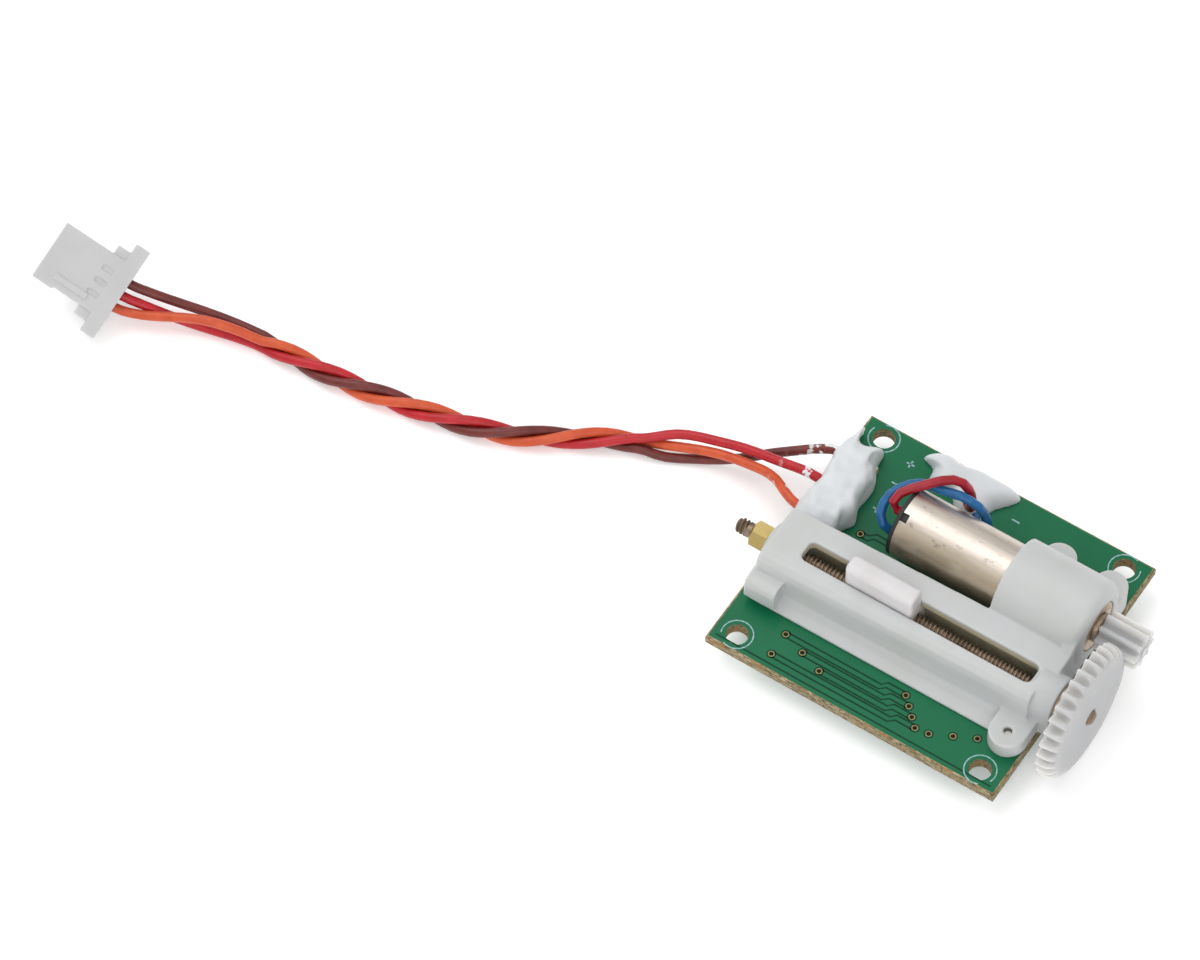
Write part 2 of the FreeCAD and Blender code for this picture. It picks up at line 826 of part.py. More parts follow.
def add_ring(name, outer, inner, left, right, centre=None):
    """Plain ring on the screw's axis, or on another axis along X."""
    y, z = centre or (screw_y, screw_z)
    left = as_size(left)
    right = as_size(right)
    disc = add_rod(f"{name}_disc", outer, (left, y, z), right - left)
    hole = add_rod(f"{name}_hole", inner, (left - 1, y, z), right - left + 2)
    return cut(name, disc, hole)


def make_screw_bush():
    """Flanged bush in the end boss, in which the screw turns."""
    bore = cell("screw_radius") + gap
    left = cell("channel_right") + 0.05
    start = (left, screw_y, screw_z)
    barrel = add_rod("bush_barrel", cell("bush_radius"), start, cell("boss_right") - left)
    start = (cell("boss_right") + seat, screw_y, screw_z)
    flange = add_rod("bush_flange", 1.1, start, as_size(0.22))
    neck_start = (cell("boss_right") - 0.1, screw_y, screw_z)
    neck = add_rod("bush_neck", cell("bush_radius"), neck_start, as_size(0.2))
    hole = add_rod("bush_hole", bore, (left - 1, screw_y, screw_z), as_size(4))
    return cut("lead_screw_bush", fuse("bush_blank", [barrel, flange, neck]), hole)


# ---------------------------------------------------------------- gears

def involute_point(base, radius):
    """Roll angle measured at the gear's centre, for a point of the involute at a radius."""
    tangent = math.sqrt(max((radius / base) ** 2 - 1, 0))
    return tangent - math.atan(tangent)


def tooth_outline(teeth, tip, root, turn):
    """Closed outline of a spur gear, with one tooth centred at the angle turn."""
    module = number("gear_module")
    slope = math.radians(number("pressure_angle"))
    pitch_radius = module * teeth / 2
    base = pitch_radius * math.cos(slope)
    thin = number("flank_clearance") / pitch_radius
    half_tooth = math.pi / (2 * teeth) - thin + involute_point(base, pitch_radius)
    start = max(base, root)
    radii = [start + (tip - start) * step / 4 for step in range(5)]
    edges = []

    def at(radius, angle):
        return Vector(0, radius * math.cos(angle), radius * math.sin(angle))

    for index in range(int(teeth)):
        middle = turn + 2 * math.pi * index / teeth
        after = middle + 2 * math.pi / teeth
        rising = [at(r, middle - half_tooth + involute_point(base, r)) for r in radii]
        falling = [at(r, middle + half_tooth - involute_point(base, r)) for r in reversed(radii)]
        foot_in = at(root, middle - half_tooth + involute_point(base, start))
        foot_out = at(root, middle + half_tooth - involute_point(base, start))
        next_foot = at(root, after - half_tooth + involute_point(base, start))
        if root < start - 1e-6:
            edges.append(Part.makeLine(foot_in, rising[0]))
        curve = Part.BSplineCurve()
        curve.interpolate(rising)
        edges.append(curve.toShape())
        edges.append(Part.Arc(rising[-1], at(tip, middle), falling[0]).toShape())
        curve = Part.BSplineCurve()
        curve.interpolate(falling)
        edges.append(curve.toShape())
        if root < start - 1e-6:
            edges.append(Part.makeLine(falling[-1], foot_out))
        valley = middle + math.pi / teeth
        edges.append(Part.Arc(foot_out, at(root, valley), next_foot).toShape())
    return Part.Wire(Part.__sortEdges__(edges))


def centre_distance():
    """Distance between the gear axes and the direction from the gear to the pinion."""
    side = number("motor_y") - number("screw_y")
    rise = number("motor_z") - number("screw_z")
    return math.hypot(side, rise), math.atan2(rise, side)


def make_screw_gear():
    """Toothed wheel pressed on the screw; its outer rim is rounded on the free side."""
    distance, direction = centre_distance()
    left = number("gear_left")
    right = number("gear_right")
    teeth = number("gear_teeth")
    tip = number("gear_tip_radius")
    root = distance - number("pinion_tip_radius") - number("tip_clearance")
    wheel = Part.Face(tooth_outline(teeth, tip, root, direction)).extrude(Vector(right - left, 0, 0))
    rounding = number("gear_rim_round")
    rim = Part.makeCylinder(tip + 0.01, right - left, Vector(0, 0, 0), Vector(1, 0, 0))
    free_edge = [edge for edge in rim.Edges if abs(edge.BoundBox.XMin - (right - left)) < 1e-4]
    rim = rim.makeFillet(rounding, free_edge)
    wheel = wheel.common(rim)
    hub_length = left - number("gear_hub_left")
    hub_start = Vector(-hub_length, 0, 0)
    hub = Part.makeCylinder(number("gear_hub_radius"), hub_length + 0.1, hub_start, Vector(1, 0, 0))
    bore = number("screw_radius") + number("seat_gap")
    hole = Part.makeCylinder(bore, 4, Vector(-2, 0, 0), Vector(1, 0, 0))
    gear = coded("screw_gear", wheel.fuse(hub).cut(hole).removeSplitter())
    place(gear, left, screw_y, screw_z)
    return gear


def make_motor_pinion():
    """Long eight-tooth pinion on the motor shaft, with a space facing the gear's tooth."""
    distance, direction = centre_distance()
    teeth = number("pinion_teeth")
    root = distance - number("gear_tip_radius") - number("tip_clearance")
    length = number("pinion_right") - number("pinion_left")
    turn = direction + math.pi + math.pi / teeth
    outline = tooth_outline(teeth, number("pinion_tip_radius"), root, turn)
    blank = Part.Face(outline).extrude(Vector(length, 0, 0))
    bore = number("motor_shaft_radius") + number("seat_gap")
    hole = Part.makeCylinder(bore, length + 2, Vector(-1, 0, 0), Vector(1, 0, 0))
    pinion = coded("motor_pinion", blank.cut(hole))
    place(pinion, cell("pinion_left"), motor_y, motor_z)
    return pinion


# ---------------------------------------------------------------- motor

def motor_rod(name, radius, left, right):
    """Cylinder on the motor's axis between two places along X."""
    left = as_size(left)
    return add_rod(name, radius, (left, motor_y, motor_z), as_size(right) - left)


def motor_ring(name, outer, inner, left, right):
    """Ring on the motor's axis."""
    return add_ring(name, outer, inner, left, right, (motor_y, motor_z))


def make_motor_can():
    """Plated steel can, open at the rear, with a hole in its front wall."""
    inner = cell("can_radius") - cell("can_wall")
    blank = motor_rod("can_blank", cell("can_radius"), cell("can_left"), cell("can_right"))
    document.recompute()
    front = number("can_right") - 0.01
    front_edge = [i for i, edge in enumerate(blank.Shape.Edges, start=1) if edge.BoundBox.XMin > front]
    shell = document.addObject("Part::Fillet", "can_shell")
    shell.Base = blank
    shell.Edges = [(i, number("can_front_round"), number("can_front_round")) for i in front_edge]
    hollow = motor_rod("can_hollow", inner, cell("can_left") - 1, cell("can_right") - 0.25)
    right = cell("can_right")
    hole = motor_rod("can_hole", cell("motor_boss_radius") + seat, right - 1, right + 1)
    notch = document.addObject("Part::Box", "can_notch")
    bind(notch, "Length", cell("can_notch_depth") + 1)
    bind(notch, "Width", 1)
    bind(notch, "Height", cell("can_notch_width"))
    angle = math.radians(number("can_notch_angle"))
    reach = cell("can_radius") - 0.5
    half = cell("can_notch_width") / 2
    notch.Placement.Rotation = FreeCAD.Rotation(Vector(1, 0, 0), number("can_notch_angle"))
    place(notch, cell("can_left") - 1, motor_y + reach * math.cos(angle) + half * math.sin(angle),
          motor_z + reach * math.sin(angle) - half * math.cos(angle))
    return cut("motor_can", shell, fuse("can_space", [hollow, hole, notch]))


# where each motor wire leaves the end cap, measured from the motor's axis along Y and Z
MOTOR_WIRE_EXITS = {"blue": (-0.73, -0.42), "red": (0.0, 0.86)}


def make_motor_end_cap():
    """Black cap that closes the can and carries the rear bush and the brushes."""
    left = cell("can_left")
    inner = cell("can_radius") - cell("can_wall") - seat
    flange = motor_rod("cap_flange", cell("can_radius") - 0.03, left - cell("cap_flange_thick"), left - seat)
    plug = motor_rod("cap_plug", inner, left - 0.1, left + 0.7)
    holes = [motor_rod("cap_hole", cell("rear_bush_radius") + seat, left - 1, left + 2)]
    for name, (side, rise) in MOTOR_WIRE_EXITS.items():
        start = (left - 1, motor_y + side, motor_z + rise)
        holes.append(add_rod(f"cap_exit_{name}", cell("motor_wire_radius") + 0.02, start, as_size(3)))
    return cut("motor_end_cap", fuse("cap_blank", [flange, plug]), fuse("cap_holes", holes))


COMMUTATOR_SEGMENTS = 3
COMMUTATOR_RADIUS = 0.62


def make_front_bush(bore):
    """Bronze bush with a flange that fills the cup's window and a grooved boss in front of it."""
    right = cell("can_right")
    flange = motor_rod("front_bush_flange", cell("motor_flange_radius"), right + seat,
                       cell("motor_flange_right"))
    groove = motor_rod("front_bush_groove", cell("motor_groove_radius"), right, cell("motor_groove_right"))
    barrel = motor_rod("front_bush_barrel", cell("motor_boss_radius"), right - 0.6, right + 0.1)
    boss = motor_rod("front_bush_boss", cell("motor_boss_radius"), cell("motor_groove_right"),
                     cell("motor_boss_right"))
    hole = motor_rod("front_bush_hole", bore, right - 1, right + 1)
    return cut("motor_front_bush", fuse("front_bush_blank", [flange, groove, barrel, boss]), hole)


def make_motor_inside():
    """Bushes, magnet, coil on its hub, commutator, brushes and shaft."""
    left = cell("can_left")
    right = cell("can_right")
    shaft = cell("motor_shaft_radius")
    bore = shaft + gap
    return [
        make_front_bush(bore),
        motor_ring("motor_rear_bush", cell("rear_bush_radius"), bore, left - 0.15, left + 0.65),
        motor_ring("motor_magnet", 1.2, 0.45, left + 2.2, right - 0.61),
        motor_ring("motor_coil", 1.68, 1.36, left + 1.8, right - 0.9),
        motor_ring("motor_hub", as_size(1.36) - seat, shaft + seat, left + 1.55, left + 1.95),
        coded("motor_commutator", Part.makeCompound(commutator_segments())),
        make_brushes(),
        motor_rod("motor_shaft", shaft, left, cell("motor_shaft_right")),
    ]


def commutator_segments():
    """Copper segments round the shaft, with a thin gap between neighbours."""
    inner = number("motor_shaft_radius") + number("seat_gap")
    sweep = 360 / COMMUTATOR_SEGMENTS - 12
    length = 0.68
    centre = Vector(number("can_left") + 0.85, number("motor_y"), number("motor_z"))
    axis = Vector(1, 0, 0)
    segments = []
    for index in range(COMMUTATOR_SEGMENTS):
        outer = Part.makeCylinder(COMMUTATOR_RADIUS, length, centre, axis, sweep)
        segment = outer.cut(Part.makeCylinder(inner, length, centre, axis, 360))
        segment.rotate(centre, axis, index * 360 / COMMUTATOR_SEGMENTS)
        segments.append(segment)
    return segments


def make_brushes():
    """Two sprung leaves that reach from the cap to the commutator."""
    left = number("can_left")
    leaves = []
    for side in (-1, 1):
        y = number("motor_y") + side * (COMMUTATOR_RADIUS + 0.04)
        y_low = min(y, y + side * 0.08)
        corner = Vector(left + 0.72, y_low, number("motor_z") - 0.25)
        leaves.append(Part.makeBox(0.75, 0.08, 0.5, corner))
    return coded("motor_brushes", Part.makeCompound(leaves))


# ---------------------------------------------------------------- wires

WIRE_STEP = 0.6


def round_wire(points, radius):
    """Solid wire of one thickness, lofted through rings along a smooth path."""
    path = Part.BSplineCurve()
    path.interpolate([Vector(*point) for point in points])
    rings = []
    count = max(int(path.length() / WIRE_STEP), 8)
    side = Vector(0, 0, 1)
    for index in range(count + 1):
        where = path.parameterAtDistance(path.length() * index / count)
        heading = path.tangent(where)[0]
        side = (side - heading * side.dot(heading)).normalize()
        circle = Part.Circle(path.value(where), heading, radius)
        circle.XAxis = side
        rings.append(Part.Wire(circle.toShape()))
    return Part.makeLoft(rings, True, True)


# middle of the three-wire lead, from the plug to the end of its twist
LEAD_ROUTE = [
    (-49.76, -7.64, 0.3), (-48.2, -7.15, -0.1), (-46.3, -6.45, -0.4), (-43.0, -5.5, -0.62),
    (-37.1, -5.05, -0.72), (-30.5, -4.0, -0.72), (-26.35, -2.85, -0.7), (-22.84, -0.85, -0.7),
    (-19.2, 0.95, -0.62),
]
# place across the plug, angle in the twist, rise before the twist, and the free end up to the pad
LEAD_WIRES = {
    "brown": (0.8, 0, 0.0, [
        (-18.6, 0.75, -0.98), (-17.1, 1.5, -1.05), (-15.5, 2.3, -0.84), (-14.05, 3.1, -0.4),
        (-13.0, 3.7, 0.1), (-11.6, 4.4, 0.7), (-10.0, 5.2, 1.2), (-9.3, 5.3, 1.4), (-8.7, 5.25, 1.35),
    ]),
    "red": (0.0, 240, -0.36, [
        (-18.3, 1.85, 0.02), (-16.1, 2.6, 0.32), (-13.85, 2.95, 0.75), (-11.7, 2.97, 1.25),
        (-9.5, 3.0, 1.65), (-8.75, 3.05, 1.35),
    ]),
    "orange": (-0.8, 120, 0.68, [
        (-18.4, 1.4, -0.62), (-16.5, 1.95, -0.22), (-15.1, 2.25, 0.03), (-13.5, 2.3, 0.4),
        (-11.6, 2.0, 1.0), (-9.9, 1.05, 1.45), (-8.75, 0.95, 1.35),
    ]),
}
TWIST_START = -41.6
TWIST_END = -19.9
ROW_END = -41.0
SPREAD_START = -19.7


def lead_points(side, angle, rise, tail):
    """Path of one strand: straight out of the plug, twisted, then out to its pad."""
    route = Part.BSplineCurve()
    route.interpolate([Vector(*point) for point in LEAD_ROUTE])
    turned = plug_rotation()
    ahead = turned.multVec(Vector(1, 0, 0))
    across = turned.multVec(Vector(0, 1, 0)) * side
    rear = Vector(number("plug_rear_x"), number("plug_rear_y"), number("plug_rear_z"))
    points = [rear + ahead * reach + across for reach in (-1.3, -0.6, 0.0)]
    steps = 60
    for step in range(steps + 1):
        where = route.FirstParameter + (route.LastParameter - route.FirstParameter) * step / steps
        middle = route.value(where)
        if middle.x < rear.x + 0.9 or middle.x > SPREAD_START:
            continue
        heading = route.tangent(where)[0]
        left = Vector(-heading.y, heading.x, 0).normalize()
        up = heading.cross(left)
        twisted = min(max(middle.x, TWIST_START), TWIST_END) - TWIST_START
        psi = math.radians(angle - 360 * twisted / number("twist_length"))
        strand = (left * math.cos(psi) + up * math.sin(psi)) * number("strand_radius")
        blend = min(max((middle.x - rear.x) / (ROW_END - rear.x), 0), 1)
        blend = blend * blend * (3 - 2 * blend)
        lift = up * (rise * math.sin(math.pi * blend))
        points.append(middle + across * (1 - blend) + strand * blend + lift)
    return points + [Vector(*point) for point in tail]


def make_lead_wires():
    """Brown, red and orange wires of the lead."""
    radius = number("lead_wire_radius")
    wires = []
    for colour, strand in LEAD_WIRES.items():
        wires.append(coded(f"lead_wire_{colour}", round_wire(lead_points(*strand), radius)))
    return wires


# free path of each motor wire, after it leaves the end cap
MOTOR_WIRE_PATHS = {
    "blue": [
        (-3.75, 1.40, 3.2), (-4.2, 1.36, 3.62), (-4.55, 1.83, 4.05), (-4.55, 2.5, 4.45),
        (-4.1, 3.3, 4.8), (-3.2, 4.0, 4.98), (-1.95, 4.2, 5.05), (-0.98, 4.38, 5.1),
        (-0.15, 4.55, 4.75), (0.32, 4.75, 4.0), (0.6, 4.8, 3.1), (0.5, 4.95, 2.2),
        (0.0, 5.2, 1.45), (-0.7, 5.7, 1.15), (-0.9, 6.5, 1.15), (-0.7, 7.3, 1.15),
    ],
    "red": [
        (-3.75, 2.1, 4.35), (-4.0, 2.1, 4.72), (-3.95, 2.53, 5.1), (-3.4, 3.15, 5.42),
        (-2.7, 3.85, 5.62), (-2.07, 4.5, 5.66), (-1.49, 4.95, 5.5), (-1.0, 5.15, 4.9),
        (-0.8, 5.35, 3.6), (-1.04, 5.7, 2.1), (-1.9, 6.6, 1.45), (-3.6, 7.5, 1.2),
    ],
}


def make_motor_wires():
    """Blue and red wires from the motor's end cap to their pads."""
    wires = []
    for colour, path in MOTOR_WIRE_PATHS.items():
        side, rise = MOTOR_WIRE_EXITS[colour]
        exit_y = number("motor_y") + side
        exit_z = number("motor_z") + rise
        inside = [(number("can_left") + reach, exit_y, exit_z) for reach in (0.5, 0.0, -0.35)]
        shape = round_wire(inside + path, number("motor_wire_radius"))
        wires.append(coded(f"motor_wire_{colour}", shape))
    return wires


# ---------------------------------------------------------------- plug

def plug_rotation():
    """How the plug is turned: its nose tips up and one side is raised."""
    return FreeCAD.Rotation(number("plug_yaw"), number("plug_pitch_down"), number("plug_roll"))


def turn_with_plug(thing):
    """Carry an object drawn at the plug's own origin to the end of the lead."""
    thing.Placement.Rotation = plug_rotation()
    place(thing, cell("plug_rear_x"), cell("plug_rear_y"), cell("plug_rear_z"))
    return thing


def centred_box(name, x_left, x_right, width, z_low, z_high):
    """Box centred on the plug's own middle line."""
    half = as_size(width) / 2
    return add_box(name, (x_left, -half, z_low), (x_right, half, z_high))


def make_plug_housing():
    """Moulded three-way housing: body, nose rib, rear flange, side tabs and open cavities."""
    half = cell("plug_height") / 2
    length = cell("plug_length")
    width = cell("plug_width")
    flange = cell("plug_flange_length")
    rib_front = -length + cell("plug_rib_length")
    tab_end = -flange - cell("plug_tab_length")
    pieces = [
        centred_box("plug_body", -length, as_size(0), width, -half, half),
        add_box("plug_nose", (-length, -width / 2 - cell("plug_rib_depth"), half - 0.6),
                (rib_front, as_size(0), half)),
        centred_box("plug_flange", -flange, as_size(0), cell("plug_flange_width"),
                    half - cell("plug_flange_height"), half),
        centred_box("plug_tabs", tab_end, -flange, cell("plug_tab_width"), half - 0.9, half - 0.12),
    ]
    rib_low = (-length + 1.1, -width / 2 + 0.42, half - 0.1)
    rib_high = (tab_end + 0.1, -width / 2 + 0.78, half + 0.1)
    pieces.append(add_box("plug_top_rib", rib_low, rib_high))
    tools = []
    for index in (-1, 0, 1):
        y = cell("plug_pitch") * index
        start = (as_size(-1.6), y, as_size(0))
        hole = add_rod(f"plug_wire_hole_{index + 1}", cell("lead_wire_radius") + 0.03, start, as_size(3))
        low = (-length - 1, y - 0.3, as_size(-0.45))
        high = (as_size(-1.5), y + 0.3, as_size(0.45))
        tools.append(hole)
        tools.append(add_box(f"plug_cavity_{index + 1}", low, high))
        low = (tab_end - 0.1, y - 0.17, half - cell("plug_dimple_depth"))
        high = (-flange - 0.15, y + 0.17, half + 1)
        tools.append(add_box(f"plug_dimple_{index + 1}", low, high))
    housing = cut("plug_housing", fuse("plug_blank", pieces), fuse("plug_holes", tools))
    return turn_with_plug(housing)


def make_plug_terminals():
    """Crimped sockets in the housing's cavities."""
    length = cell("plug_length")
    sockets = []
    for index in (-1, 0, 1):
        y = cell("plug_pitch") * index
        low = (-length + 0.3, y - 0.27, as_size(-0.4))
        high = (as_size(-1.7), y + 0.27, as_size(0.4))
        outer = add_box(f"socket_outer_{index + 1}", low, high)
        low = (-length - 1, y - 0.2, as_size(-0.32))
        high = (as_size(-2.4), y + 0.2, as_size(0.32))
        inner = add_box(f"socket_inner_{index + 1}", low, high)
        sockets.append(cut(f"socket_{index + 1}", outer, inner))
    return turn_with_plug(group("plug_terminals", sockets))


# ---------------------------------------------------------------- glue

def blob(outline, layers):
    """Smooth mound over a closed outline; each layer is (height, share of the outline)."""
    centre_x = sum(x for x, y in outline) / len(outline)
    centre_y = sum(y for x, y in outline) / len(outline)
    wires = []
    for height, share in layers:
        ring = Part.BSplineCurve()
        points = []
        for x, y in outline:
            ring_x = centre_x + (x - centre_x) * share
            ring_y = centre_y + (y - centre_y) * share
            points.append(Vector(ring_x, ring_y, height))
        ring.interpolate(points, PeriodicFlag=True)
        wires.append(Part.Wire(ring.toShape()))
    return Part.makeLoft(wires, True, False)


CABLE_GLUE_OUTLINE = [
    (-9.0, 7.35), (-8.05, 6.5), (-7.3, 6.75), (-7.2, 6.0), (-6.7, 4.9), (-6.42, 3.78), (-6.5, 2.7),
    (-6.2, 1.75), (-6.6, 1.1), (-6.5, 0.2), (-7.2, -0.45), (-8.5, -0.5), (-9.3, 0.35),
    (-9.5, 1.45), (-9.32, 2.88), (-9.62, 5.19), (-9.2, 6.6),
]
MOTOR_GLUE_OUTLINE = [
    (-5.3, 7.9), (-5.0, 8.3), (-4.1, 8.6), (-3.4, 8.45), (-2.3, 8.65), (-0.8, 8.65), (0.75, 8.35),
    (0.35, 7.6), (-0.25, 6.75), (-0.45, 5.95), (-1.1, 5.45), (-1.9, 5.6), (-2.5, 6.3), (-3.4, 6.75),
    (-4.3, 6.65), (-4.5, 7.4),
]


def make_glue():
    """Mounds of clear-white adhesive over the cable pads and the motor pads."""
    top = number("board_thick")
    cable_layers = [(top, 1.0), (top + 0.75, 0.96), (top + 1.35, 0.84), (top + 1.75, 0.6)]
    motor_layers = [(top, 1.0), (top + 0.4, 0.93), (top + 0.75, 0.78), (top + 0.95, 0.5)]
    cable = blob(CABLE_GLUE_OUTLINE, cable_layers)
    motor = blob(MOTOR_GLUE_OUTLINE, motor_layers)
    return [coded("cable_glue", cable), coded("motor_wire_glue", motor)]


# ---------------------------------------------------------------- board screws

def make_frame_screws():
    """Self-tapping screws driven through the board into the frame's ears."""
    screws = []
    for index, (x, y) in enumerate(ear_centres()):
        shank = add_rod(f"shank_{index}", cell("ear_screw_radius"), (x, y, as_size(-0.1)),
                        board_top + cell("ear_screw_grip") + 0.05, ALONG_Z)
        head = add_rod(f"head_{index}", cell("ear_screw_head"), (x, y, -seat - 0.4), as_size(0.4), ALONG_Z)
        bar_x = (x - 0.45, y - 0.1, as_size(-0.6))
        end_x = (x + 0.45, y + 0.1, as_size(-0.2))
        bar_y = (x - 0.1, y - 0.45, as_size(-0.6))
        end_y = (x + 0.1, y + 0.45, as_size(-0.2))
        recess = fuse(f"recess_{index}", [
            add_box(f"recess_x_{index}", bar_x, end_x), add_box(f"recess_y_{index}", bar_y, end_y),
        ])
        screws.append(cut(f"frame_screw_{index}", fuse(f"blank_{index}", [shank, head]), recess))
    return group("frame_screws", screws)


# ---------------------------------------------------------------- assembly and export

def make_all():
    """Every node of the part, in the order of the piece list."""
    nodes = [
        make_circuit_board(), make_resistive_track(), make_servo_frame(), make_slider(),
        make_wiper_contact(), make_lead_screw(), make_retaining_nut(), make_screw_bush(),
        add_ring("thrust_collar", cell("collar_radius"), cell("screw_radius") + seat,
                 cell("collar_left"), cell("gear_hub_left") - seat),
        make_screw_gear(), make_motor_pinion(), make_motor_can(), make_motor_end_cap(),
    ]
    nodes += make_motor_inside()
    nodes += make_motor_wires()
    nodes += make_lead_wires()
    nodes += [make_plug_housing(), make_plug_terminals()]
    nodes += make_glue()
    for name, (x, y, length, width, height, count) in PACKAGES.items():
        nodes.append(make_chip(f"{name}_chip", x, y, length, width, height))
        nodes.append(make_legs(f"{name}_legs", x, y, length, width, height, count))
    nodes.append(make_passives("board_capacitors", CAPACITORS))
    nodes.append(make_passives("board_resistors", RESISTORS))
    nodes.append(make_solder_joints())
    nodes.append(make_frame_screws())
    return nodes


def check_document():
    """Stop if any object in the document failed to compute."""
    for thing in document.Objects:
        if "Invalid" in thing.State or "Error" in thing.State:
            raise RuntimeError(f"{thing.Name} did not compute: {thing.State}")


def export(node):
    """Write one node as STEP after checking its shape."""
    shape = node.Shape
    if shape.isNull() or not shape.isValid() or not shape.Solids:
        raise RuntimeError(f"{node.Label} has no valid solid")
    shape.exportStep(f"parts/{node.Label}.step")
    box = shape.BoundBox
    print(f"{node.Label:22s} {len(shape.Solids):3d} solids  volume {shape.Volume:9.3f}  "
          f"x {box.XMin:7.2f} {box.XMax:7.2f}  y {box.YMin:6.2f} {box.YMax:6.2f}  "
          f"z {box.ZMin:6.2f} {box.ZMax:6.2f}")


all_nodes = make_all()
document.recompute()
check_document()
os.makedirs("parts", exist_ok=True)
for node in all_nodes:
    export(node)
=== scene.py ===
import json
import math

import bpy
import numpy as np
from mathutils import Matrix, Vector, noise


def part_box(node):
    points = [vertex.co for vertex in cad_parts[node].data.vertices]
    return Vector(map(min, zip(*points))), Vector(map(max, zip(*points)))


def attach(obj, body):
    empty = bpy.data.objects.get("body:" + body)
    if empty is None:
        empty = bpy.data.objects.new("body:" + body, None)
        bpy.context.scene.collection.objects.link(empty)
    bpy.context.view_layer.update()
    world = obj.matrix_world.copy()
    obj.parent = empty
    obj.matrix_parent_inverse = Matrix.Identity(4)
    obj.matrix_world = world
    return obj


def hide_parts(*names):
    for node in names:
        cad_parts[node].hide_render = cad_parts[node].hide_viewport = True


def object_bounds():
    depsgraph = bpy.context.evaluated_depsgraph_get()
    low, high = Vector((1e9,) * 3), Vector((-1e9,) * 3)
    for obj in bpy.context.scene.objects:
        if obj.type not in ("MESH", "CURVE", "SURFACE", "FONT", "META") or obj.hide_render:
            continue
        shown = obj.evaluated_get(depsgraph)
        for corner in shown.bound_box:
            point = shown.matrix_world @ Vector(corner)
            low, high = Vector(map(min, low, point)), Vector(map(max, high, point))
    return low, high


# Looks for a micro linear servo. Lengths are millimetres here; MM turns them into metres.
MM = 0.001

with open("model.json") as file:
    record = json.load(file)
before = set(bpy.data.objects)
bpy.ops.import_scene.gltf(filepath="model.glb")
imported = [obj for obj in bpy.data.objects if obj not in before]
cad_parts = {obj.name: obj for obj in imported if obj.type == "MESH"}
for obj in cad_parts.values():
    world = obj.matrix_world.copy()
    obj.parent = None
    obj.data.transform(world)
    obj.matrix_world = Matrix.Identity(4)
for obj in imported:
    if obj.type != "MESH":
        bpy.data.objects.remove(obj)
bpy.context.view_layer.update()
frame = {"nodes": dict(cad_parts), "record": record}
nodes = frame["nodes"]
record = frame["record"]


def box(node):
    """Lowest and highest corner of a CAD node, in millimetres."""
    low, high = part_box(node)
    return np.array(low) / MM, np.array(high) / MM


board_low, board_high = box("circuit_board")
BOARD_TOP = board_high[2]
frame_low, frame_high = box("servo_frame")
screw_low, screw_high = box("lead_screw")
SCREW_Y = float(screw_low[1] + screw_high[1]) / 2
can_low, can_high = box("motor_can")
cable_low, cable_high = box("cable_glue")
motor_glue_low, motor_glue_high = box("motor_wire_glue")


# ---------------------------------------------------------------- node materials

